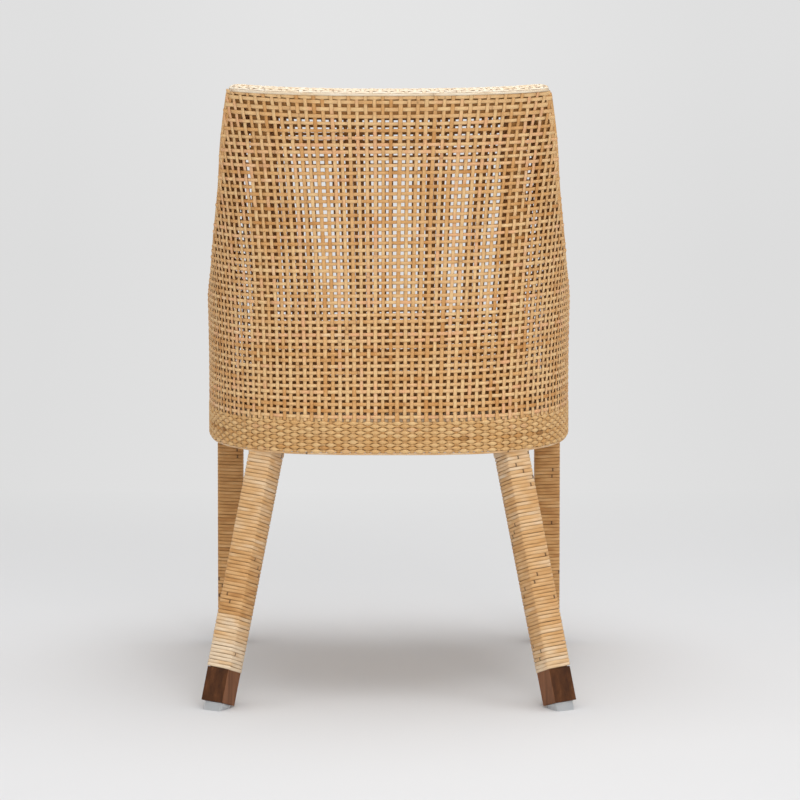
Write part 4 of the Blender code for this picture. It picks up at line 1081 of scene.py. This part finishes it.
def peel_finish(name, stops, mark=(0.14, 0.055, 0.02), under=(0.30, 0.13, 0.04), knots=0.3):
    """Cane peel: streaks along it, a slow drift of tone, dark nodes here and there, and an underside painted
    dark brown as the shade inside the weave.
    """
    made = Finish(name, Specular_IOR_Level=PEEL_GLOSS)
    grain = made.node("ShaderNodeAttribute", attribute_name="grain").outputs["Vector"]
    skin = made.node("ShaderNodeAttribute", attribute_name="skin").outputs["Fac"]
    along, across, tint = made.node("ShaderNodeSeparateXYZ", {0: grain}).outputs
    lane = made.times(tint, LANE_STEP)
    drift = made.noise(made.vector(made.times(along, DRIFT_SCALE), lane, 0.0), detail=2.0)
    streak_place = made.scaled((along, across, lane), (*STREAK_SCALES, 1.0))
    streak = made.noise(streak_place, detail=4.0, roughness=STREAK_ROUGHNESS)
    tone = made.plus(made.times(tint, 0.5), made.spread(drift, *NOISE_RANGE, *DRIFT_TONES))
    colour = made.ramp(tone, stops)
    streaked = made.spread(streak, *NOISE_RANGE, *STREAK_TONES)
    colour = made.mix(1.0, colour, made.vector(streaked, streaked, streaked), "MULTIPLY")
    # Painted shade: each strip darkened toward its edges
    edge = made.math("POWER", made.times(made.math("ABSOLUTE", across), 2.0), EDGE_SHADE_POWER)
    colour = made.mix(made.times(edge, EDGE_SHADE_SHARE), colour, EDGE_SHADE_COLOUR)
    beat = made.math("FRACT", made.plus(made.times(along, NODES_PER_METRE), lane))
    near = made.math("ABSOLUTE", made.math("SUBTRACT", beat, 0.5))
    colour = made.mix(made.spread(near, *HALO_REACH, HALO_SHARE, 0.0), colour, HALO_COLOUR)
    colour = made.mix(made.spread(near, *NODE_REACH, knots, 0.0), colour, (*mark, 1))
    # Painted shade: where the skin is low, the strip takes the dark underside colour
    darker_underside_shade = tuple(UNDERSIDE_SHADE_SCALE * part for part in under)
    underside_shade = made.ramp(streak, tuple(zip(NOISE_RANGE, (darker_underside_shade, under))))
    colour = made.mix(made.spread(skin, *SKIN_RANGE), underside_shade, colour)
    rough = made.spread(streak, *NOISE_RANGE, *PEEL_ROUGHNESS)
    return made.finish(colour, rough, streak, PEEL_BUMP)


# Wood: how far its grain stretches, its pores against its rings, and how much its polish varies
GRAIN_STRETCH = 14
RING_SHARE = 0.7
RING_ROUGHNESS = 0.55
PORE_SCALE = 6
PORE_SHARE = 0.3
PORE_ROUGHNESS = 0.6
# Painted light on faces by whether they turn toward the chair's middle
INWARD_LIGHT_RANGE = (-0.3, 0.3)
POLISH_SPREAD = 0.07


def wood_finish(name, stops, direction, scale, roughness, gloss=0.4, inward=0.0):
    """Wood with its grain along one axis; its faces toward the chair's middle are painted lighter by inward,
    and those turned away darker, as painted light.
    """
    made = Finish(name, Specular_IOR_Level=gloss)
    x, y, z = made.object_place()
    stretch = [scale if axis != direction else scale / GRAIN_STRETCH for axis in range(3)]
    rings = made.noise(made.scaled((x, y, z), stretch), detail=3.0, roughness=RING_ROUGHNESS)
    fine_place = made.scaled((x, y, z), [size * PORE_SCALE for size in stretch])
    pores = made.noise(fine_place, detail=4.0, roughness=PORE_ROUGHNESS)
    tone = made.plus(made.times(rings, RING_SHARE), made.times(pores, PORE_SHARE))
    # Painted light: faces turned toward the chair's middle lighter, those turned away darker
    if inward:
        normal = made.node("ShaderNodeNewGeometry").outputs["Normal"]
        across = made.node("ShaderNodeSeparateXYZ", {0: normal}).outputs[0]
        toward = made.times(made.math("SIGN", x), made.times(across, -1.0))
        tone = made.plus(tone, made.spread(toward, *INWARD_LIGHT_RANGE, -inward, inward))
    colour = made.ramp(tone, stops)
    rough = made.spread(pores, *NOISE_RANGE, roughness - POLISH_SPREAD, roughness + POLISH_SPREAD)
    return made.finish(colour, rough, pores)


def hazed_finish(name, scale, low, high, roughness, **sockets):
    """An even material with a faint haze in its colour and its polish."""
    made = Finish(name, **sockets)
    haze = made.noise(made.vector(*made.object_place()), scale)
    colour = made.ramp(haze, tuple(zip(NOISE_RANGE, (low, high))))
    return made.finish(colour, made.spread(haze, *NOISE_RANGE, *roughness))


OUTER_STOPS = (
    (0.08, (0.64, 0.30, 0.088)), (0.28, (0.76, 0.42, 0.16)), (0.48, (0.82, 0.50, 0.225)),
    (0.62, (0.89, 0.59, 0.285)), (0.80, (0.84, 0.45, 0.22)), (1.00, (0.93, 0.67, 0.385)),
)
BAND_STOPS = (
    (0.00, (0.30, 0.14, 0.04)), (0.08, (0.60, 0.30, 0.09)), (0.30, (0.70, 0.40, 0.15)),
    (0.52, (0.76, 0.47, 0.20)), (0.70, (0.82, 0.54, 0.25)), (0.85, (0.74, 0.42, 0.19)),
    (1.00, (0.84, 0.60, 0.33)),
)
# The inner weave's peel is the outer's, painted darker as the shade inside the double wall
INNER_SHADED_STOPS = (
    (0.10, (0.44, 0.18, 0.05)), (0.35, (0.57, 0.26, 0.08)), (0.60, (0.65, 0.33, 0.11)),
    (0.85, (0.59, 0.28, 0.10)), (1.00, (0.71, 0.40, 0.16)),
)
# The rim's peel is pale, its upper stops raised further as painted top light
RIM_STOPS = (
    (0.00, (0.56, 0.29, 0.10)), (0.15, (0.72, 0.47, 0.22)), (0.35, (0.83, 0.66, 0.45)),
    (0.75, (0.89, 0.78, 0.62)), (1.00, (0.92, 0.85, 0.72)),
)
WRAP_STOPS = (
    (0.05, (0.52, 0.25, 0.08)), (0.30, (0.68, 0.37, 0.14)), (0.55, (0.76, 0.46, 0.21)),
    (0.78, (0.82, 0.57, 0.33)), (1.00, (0.87, 0.68, 0.47)),
)
WALNUT_STOPS = ((0.20, (0.038, 0.011, 0.002)), (0.45, (0.098, 0.032, 0.008)), (0.75, (0.26, 0.105, 0.045)))
WOODS = {
    # The rim's skin is painted dark brown as the shade in the gaps between the rim's strips
    "rim_shaded_wood": ((0.16, 0.07, 0.02), (0.26, 0.12, 0.04), 2, 90, 0.6),
    # Frame poles painted dark brown as the shade inside the double wall
    "pole": ((0.32, 0.13, 0.03), (0.50, 0.23, 0.06), 2, 120, 0.6),
    # Leg cores painted dark like the poles, as the shade in the gaps between wrap turns
    "shaded_leg_wood": ((0.26, 0.12, 0.04), (0.38, 0.20, 0.08), 2, 120, 0.6),
    "beech": ((0.55, 0.38, 0.22), (0.68, 0.50, 0.31), 2, 120, 0.6),
    "plywood": ((0.52, 0.36, 0.21), (0.64, 0.47, 0.29), 1, 90, 0.65),
}

# The under colour of each peel is painted shade for the hidden side of its strips
peel_outer = peel_finish("peel_outer", OUTER_STOPS)
# Painted-shade copy of the outer peel, with a lighter painted-shade underside where its backs face out
peel_inner_shaded = peel_finish("peel_inner_shaded", INNER_SHADED_STOPS, under=(0.44, 0.19, 0.045))
peel_band = peel_finish("peel_band", BAND_STOPS, (0.38, 0.18, 0.06))
peel_rim = peel_finish("peel_rim", RIM_STOPS)
peel_wrap = peel_finish("peel_wrap", WRAP_STOPS, (0.06, 0.022, 0.008), knots=0.85)
woods = {}
for wood_name, (low_colour, high_colour, *grain_settings) in WOODS.items():
    wood_stops = tuple(zip(NOISE_RANGE, (low_colour, high_colour)))
    woods[wood_name] = wood_finish(wood_name, wood_stops, *grain_settings)
# The walnut caps' inward faces are painted lighter as painted light
walnut = wood_finish("walnut", WALNUT_STOPS, 2, 110, 0.5, 0.25, 0.12)
steel = hazed_finish("steel", 900.0, (0.50, 0.50, 0.51), (0.62, 0.62, 0.63), (0.28, 0.42), Metallic=1.0)
clear_settings = {"Transmission_Weight": 0.55, "IOR": 1.49}
clear = hazed_finish(
    "clear_plastic", 60.0, (0.90, 0.93, 0.95), (0.97, 0.98, 0.99), (0.30, 0.36), **clear_settings
)

NODE_FINISHES = {
    # Rails and posts take the painted-shade pole colour
    "rail": woods["pole"],
    "post": woods["pole"],
    "seat_rail": woods["beech"],
    "corner_block": woods["beech"],
    "leg": woods["shaded_leg_wood"],
    "deck": woods["plywood"],
    "foot_cap": walnut,
    "glide": clear,
    "bolt": steel,
    "screw": steel,
}


def dress_frame():
    """Gives each construction piece its finish; the last matching word in its name wins."""
    for name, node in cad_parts.items():
        for word, finish in NODE_FINISHES.items():
            if word in name:
                node.data.materials.clear()
                node.data.materials.append(finish)


# The cushion, cut a little small so that it can swell: rings of its plan by size and height, then its crown
CUSHION_DEPTH = 0.034
CUSHION_FRONT_INSET = 0.013
CUSHION_CORNER_RADIUS = 0.030
CUSHION_LIFT = 0.0015
CUSHION_TOP = 0.051
CUSHION_SIZES = (0.93, 0.985, 1.0, 1.0, 0.985, 0.93)
CUSHION_HEIGHTS = (0.0, 0.004, 0.014, 0.036, 0.046, CUSHION_TOP)
CUSHION_CROWN = 0.018
CROWN_SIZES = (0.85, 0.7, 0.5, 0.3, 0.12)
CROWN_POWERS = (2.4, 0.75)
BACK_SAMPLES = 61
SIDE_SAMPLES = 16
CORNER_SAMPLES = 9
FRONT_SAMPLES = 26
CUSHION_VOXEL = 0.006
CUSHION_SWELL = 0.006
CUSHION_PRESSURE = 4.0
CUSHION_TENSION = 12
CUSHION_BENDING = 0.6
CLOTH_QUALITY = 5
CLOTH_FRAMES = 20
LEAST_SHIFT = 1e-9
PIPING_RADIUS = 0.0022
PIPING_SIDES = 10
SEAM_SIZE = 0.975
SEAMS = (("upper", CUSHION_TOP), ("lower", 0.006))


def cushion_outline():
    """The cushion's plan, from the middle of its back round to the right, as x and y."""
    runs = np.linspace(-BACK_RUN, BACK_RUN, BACK_SAMPLES)
    back = shell(np.where(runs == 0, NUDGE, runs), DECK_TOP, CUSHION_DEPTH)[:, :2]
    half = SHELL_HALF_WIDTH - CUSHION_DEPTH
    front = SHELL_FRONT_REACH - CUSHION_FRONT_INSET + MIDDLE_Y
    radius = CUSHION_CORNER_RADIUS
    right = [(half, y) for y in np.linspace(MIDDLE_Y, front - radius, SIDE_SAMPLES)[1:]]
    for angle in np.linspace(0, math.pi / 2, CORNER_SAMPLES)[1:]:
        right.append((half - radius + radius * math.cos(angle), front - radius + radius * math.sin(angle)))
    across = [(x, front) for x in np.linspace(half - radius, -(half - radius), FRONT_SAMPLES)[1:-1]]
    left = [(-x, y) for x, y in reversed(right)]
    return np.concatenate([back, right, across, left])


def mesh_points(piece):
    """Places of the piece's points."""
    places = np.empty(len(piece.data.vertices) * 3)
    piece.data.vertices.foreach_get("co", places)
    return places.reshape(-1, 3)


def modified(piece, kind, **settings):
    """The piece with one modifier applied to its mesh."""
    modifier = piece.modifiers.new("change", kind)
    for name, value in settings.items():
        setattr(modifier, name, value)
    bake_modifiers(piece)


def blow_up(pad):
    """Fills the cushion like a soft cover under pressure."""
    cloth = pad.modifiers.new("fill", "CLOTH").settings
    cloth.use_pressure = True
    cloth.uniform_pressure_force = CUSHION_PRESSURE
    cloth.effector_weights.gravity = 0.0
    cloth.quality = CLOTH_QUALITY
    cloth.tension_stiffness = CUSHION_TENSION
    cloth.bending_stiffness = CUSHION_BENDING
    for number in range(1, CLOTH_FRAMES + 1):
        bpy.context.scene.frame_set(number)
    bake_modifiers(pad)
    bpy.context.scene.frame_set(1)


def cushion(finish, piping_finish):
    """The padded seat cushion, swollen a little from its plan, with a piped seam at its top and bottom."""
    base = DECK_TOP + CUSHION_LIFT
    outline = cushion_outline()
    middle = outline.mean(axis=0)
    spread = outline - middle
    power, root = CROWN_POWERS
    levels = list(zip(CUSHION_SIZES, CUSHION_HEIGHTS))
    levels += [(size, CUSHION_TOP + CUSHION_CROWN * (1 - size**power) ** root) for size in CROWN_SIZES]
    rings = [np.column_stack([middle + spread * size, np.full(len(outline), base + z)]) for size, z in levels]
    pad = put("seat_pad", tube_mesh("seat_pad", np.array(rings)))
    modified(pad, "REMESH", mode="VOXEL", voxel_size=CUSHION_VOXEL)
    rest = mesh_points(pad)
    blow_up(pad)
    shift = mesh_points(pad) - rest
    size = np.linalg.norm(shift, axis=1, keepdims=True)
    settled = rest + shift * np.minimum(1, CUSHION_SWELL / np.maximum(size, LEAST_SHIFT))
    settled[:, 2] = np.maximum(settled[:, 2], base)
    pad.data.vertices.foreach_set("co", settled.ravel())
    pad.data.update()
    pad.data.shade_smooth()
    modified(pad, "SUBSURF", levels=1, render_levels=1)
    pad.data.shade_smooth()
    dress(pad, finish, "cushion_cover", "seat_cushion")
    tree = BVHTree.FromPolygons([v.co for v in pad.data.vertices], [p.vertices for p in pad.data.polygons])
    for label, level in SEAMS:
        ring = []
        for x, y in middle + spread * SEAM_SIZE:
            spot, normal, _, _ = tree.find_nearest(Vector((x, y, base + level)))
            ring.append(tuple(spot + normal * PIPING_RADIUS * 0.5))
        welt(f"cushion_piping_{label}", eased_ring(np.array(ring), 3), piping_finish)


def eased_ring(path, rounds):
    """A closed path with its small steps smoothed."""
    for _ in range(rounds):
        path = (np.roll(path, 1, axis=0) + 2 * path + np.roll(path, -1, axis=0)) / 4
    return path


def welt(name, path, finish):
    """A round covered cord sewn along a closed seam."""
    along = along_of(path, True)
    side = unit(np.cross(along, (0, 0, 1)))
    up = np.cross(side, along)
    angles = np.arange(PIPING_SIDES) / PIPING_SIDES * math.tau
    round_way = side[:, None] * np.cos(angles)[None, :, None] + up[:, None] * np.sin(angles)[None, :, None]
    rings = path[:, None] + PIPING_RADIUS * round_way
    place(name, tube_mesh(name, rings, True), finish, "cushion_cover")


def bake_modifiers(piece):
    """Applies the piece's modifiers to its mesh."""
    graph = bpy.context.evaluated_depsgraph_get()
    made = bpy.data.meshes.new_from_object(piece.evaluated_get(graph))
    old = piece.data
    piece.modifiers.clear()
    piece.data = made
    bpy.data.meshes.remove(old)


# Linen: the pitch of its threads, how its slubs and clouds are drawn out, and its relief
THREAD_PITCH = 0.0011
THREAD_FALL = 0.6
SLUB_SCALES = ((30.0, 900.0, 300.0), (900.0, 30.0, 300.0))
SLUB_SHARE = 0.7
CLOUD_SCALE = 14.0
CLOUD_SHARE = 0.3
WEAVE_SHARE = 0.3
LINEN_RANGE = (0.35, 0.65)
LINEN_BUMP = 0.00025


def linen_finish(name, light, dark):
    """A plain woven cover: threads both ways, a little slub and soft shading."""
    made = Finish(name, Roughness=0.9, Sheen_Weight=0.25, Sheen_Roughness=0.5, Specular_IOR_Level=0.2)
    x, y, z = made.object_place()
    fall = made.times(z, THREAD_FALL)
    threads = []
    for part in (made.plus(x, fall), made.plus(y, fall)):
        threads.append(made.math("SINE", made.times(part, 2 * math.pi / THREAD_PITCH)))
    slubs = [made.noise(made.scaled((x, y, z), scales), detail=2.0) for scales in SLUB_SCALES]
    slub = made.times(made.plus(*slubs), 0.5)
    cloud = made.noise(made.vector(x, y, z), CLOUD_SCALE)
    tone = made.plus(made.times(slub, SLUB_SHARE), made.times(cloud, CLOUD_SHARE))
    colour = made.ramp(tone, tuple(zip(LINEN_RANGE, (dark, light))))
    height = made.plus(made.times(made.times(*threads), WEAVE_SHARE), slub)
    return made.finish(colour, None, height, LINEN_BUMP)


# Stage: a pale floor that sweeps up into the wall behind, and the lights
FLOOR_GREY = (0.722, 0.724, 0.732)
FLOOR_LIGHT = (0.742, 0.744, 0.752)
# The grey behind the chair is painted light: a little brighter higher up and toward the middle
BACK_GREYS = ((0.0, (0.725, 0.725, 0.725)), (0.1, (0.722, 0.722, 0.722)), (0.25, (0.742, 0.742, 0.742)))
BACK_HEIGHT = 2.6
FLOOR_END = (0.4, 1.6)
GLOW_REACH = (0.2, 0.7)
GLOW_STRENGTHS = (1.05, 1.0)
CLOUDY_SCALE = 0.7
STAGE_REACH = 9.0
STAGE_BACK = 2.2
STAGE_RADIUS = 1.6
STAGE_TOP = 7.0
STAGE_SAMPLES = 17
ROOM_STRENGTH = 0.58
LIGHTS = (
    ("overhead", (0.2, -0.3, 3.2), (0, 0, 0.4), (2.4, 2.4), 54.0),
    ("key", (0.6, -4.4, 2.3), (0, 0, 0.5), (2.4, 1.8), 60.0),
)


def paper_finish():
    """Pale paper: the lit floor by the chair, and a grey behind it for the eye and for shiny things, painted
    a little brighter toward the middle and higher up as painted light.

    It has one side only, so that the chair's front can be looked at through it.
    """
    paper = Finish("paper", Roughness=0.9, Specular_IOR_Level=0.0)
    x, y, z = paper.object_place()
    cloud = paper.noise(paper.vector(x, y, z), CLOUDY_SCALE)
    made = paper.finish(paper.ramp(cloud, tuple(zip(NOISE_RANGE, (FLOOR_GREY, FLOOR_LIGHT)))))
    rays = paper.node("ShaderNodeLightPath").outputs
    seen = paper.plus(rays["Is Camera Ray"], rays["Is Glossy Ray"])
    seen = paper.math("ADD", seen, rays["Is Transmission Ray"], clamp=True)
    back = paper.ramp(paper.spread(z, 0.0, BACK_HEIGHT), BACK_GREYS)
    # Painted light: the grey behind glows brighter toward the middle
    middle = paper.spread(paper.math("ABSOLUTE", x), *GLOW_REACH, *GLOW_STRENGTHS)
    glow = paper.node("ShaderNodeEmission", {"Color": back, "Strength": middle}).outputs[0]
    share = paper.math("MULTIPLY", seen, paper.spread(y, *FLOOR_END), clamp=True)
    both = paper.node("ShaderNodeMixShader", {0: share, 1: paper.shader.outputs[0], 2: glow}).outputs[0]
    behind = paper.node("ShaderNodeNewGeometry").outputs["Backfacing"]
    through = paper.node("ShaderNodeBsdfTransparent").outputs[0]
    sided = paper.node("ShaderNodeMixShader", {0: behind, 1: both, 2: through}).outputs[0]
    paper.feed(paper.tree.nodes["Material Output"].inputs["Surface"], sided)
    return made


def make_stage():
    """A pale floor that rises behind the chair in one sweep."""
    profile = [(-STAGE_REACH, 0.0), (STAGE_BACK, 0.0)]
    for angle in np.linspace(0, math.pi / 2, STAGE_SAMPLES)[1:]:
        rise = STAGE_RADIUS * (1 - math.cos(angle))
        profile.append((STAGE_BACK + STAGE_RADIUS * math.sin(angle), rise))
    profile.append((STAGE_BACK + STAGE_RADIUS, STAGE_TOP))
    points, faces = [], []
    for y, z in profile:
        points += [(-STAGE_REACH, y, z), (STAGE_REACH, y, z)]
    for first in range(0, 2 * len(profile) - 2, 2):
        faces.append((first, first + 1, first + 3, first + 2))
    backdrop = put("backdrop", new_mesh("backdrop", points, faces))
    backdrop.data.materials.append(paper_finish())


def make_lights():
    """Soft light from the room all round, from overhead and from behind the camera."""
    world = bpy.data.worlds.new("room")
    world.use_nodes = True
    shade = world.node_tree.nodes["Background"]
    shade.inputs["Color"].default_value = (1.0, 1.0, 1.0, 1)
    shade.inputs["Strength"].default_value = ROOM_STRENGTH
    bpy.context.scene.world = world
    for name, place_at, target, size, power in LIGHTS:
        data = bpy.data.lights.new(name, "AREA")
        data.shape = "RECTANGLE"
        data.size, data.size_y = size
        data.energy = power
        lamp = put(name, data)
        lamp.location = place_at
        lamp.rotation_euler = (Vector(target) - Vector(place_at)).to_track_quat("-Z", "Y").to_euler()


def make_camera():
    """The photograph's view of the chair."""
    data = bpy.data.cameras.new("camera")
    data.lens = CAMERA_LENS
    data.shift_x, data.shift_y = CAMERA_SHIFT, CAMERA_RISE
    data.clip_end = CAMERA_CLIP
    camera = put("camera", data)
    camera.location = (0, MIDDLE_Y - CAMERA_DISTANCE, CAMERA_HEIGHT)
    camera.rotation_euler = (math.pi / 2 - CAMERA_PITCH, 0, 0)
    bpy.context.scene.camera = camera


def make_walls():
    """The outer and the inner weave."""
    rows = outer_heights()
    half = WALL_THICKNESS / 2
    outer = Wall("outer", half, 1, rows, outer_stakes, OUTER_SEED, OUTER_FOOT, SIDE_INSET)
    outer.weave(peel_outer, "woven_peel_outer", "outer_weave")
    rows = inner_heights(rows[:-1])
    depth = INNER_WALL_DEPTH + half
    inner = Wall("inner", depth, -1, rows, inner_stakes, INNER_SEED, INNER_FOOT, CREST_INSET)
    # The inner wall is woven in the darker, painted-shade peel
    inner.weave(peel_inner_shaded, "woven_peel_inner", "inner_weave")


dress_frame()
make_walls()
base_band(peel_band, peel_wrap)
seat_front_border(peel_wrap)
rim(peel_rim, woods["rim_shaded_wood"])
for number, leg in enumerate(make_legs()):
    leg_wrap(leg, peel_wrap, WRAP_SEED + number)
    foot_cap(leg, walnut)
linen = linen_finish("linen", (0.86, 0.82, 0.74), (0.78, 0.73, 0.64))
piping = linen_finish("piping_linen", (0.84, 0.80, 0.72), (0.76, 0.71, 0.62))
cushion(linen, piping)
make_stage()
make_lights()
make_camera()
bpy.context.scene.view_settings.view_transform = "Standard"
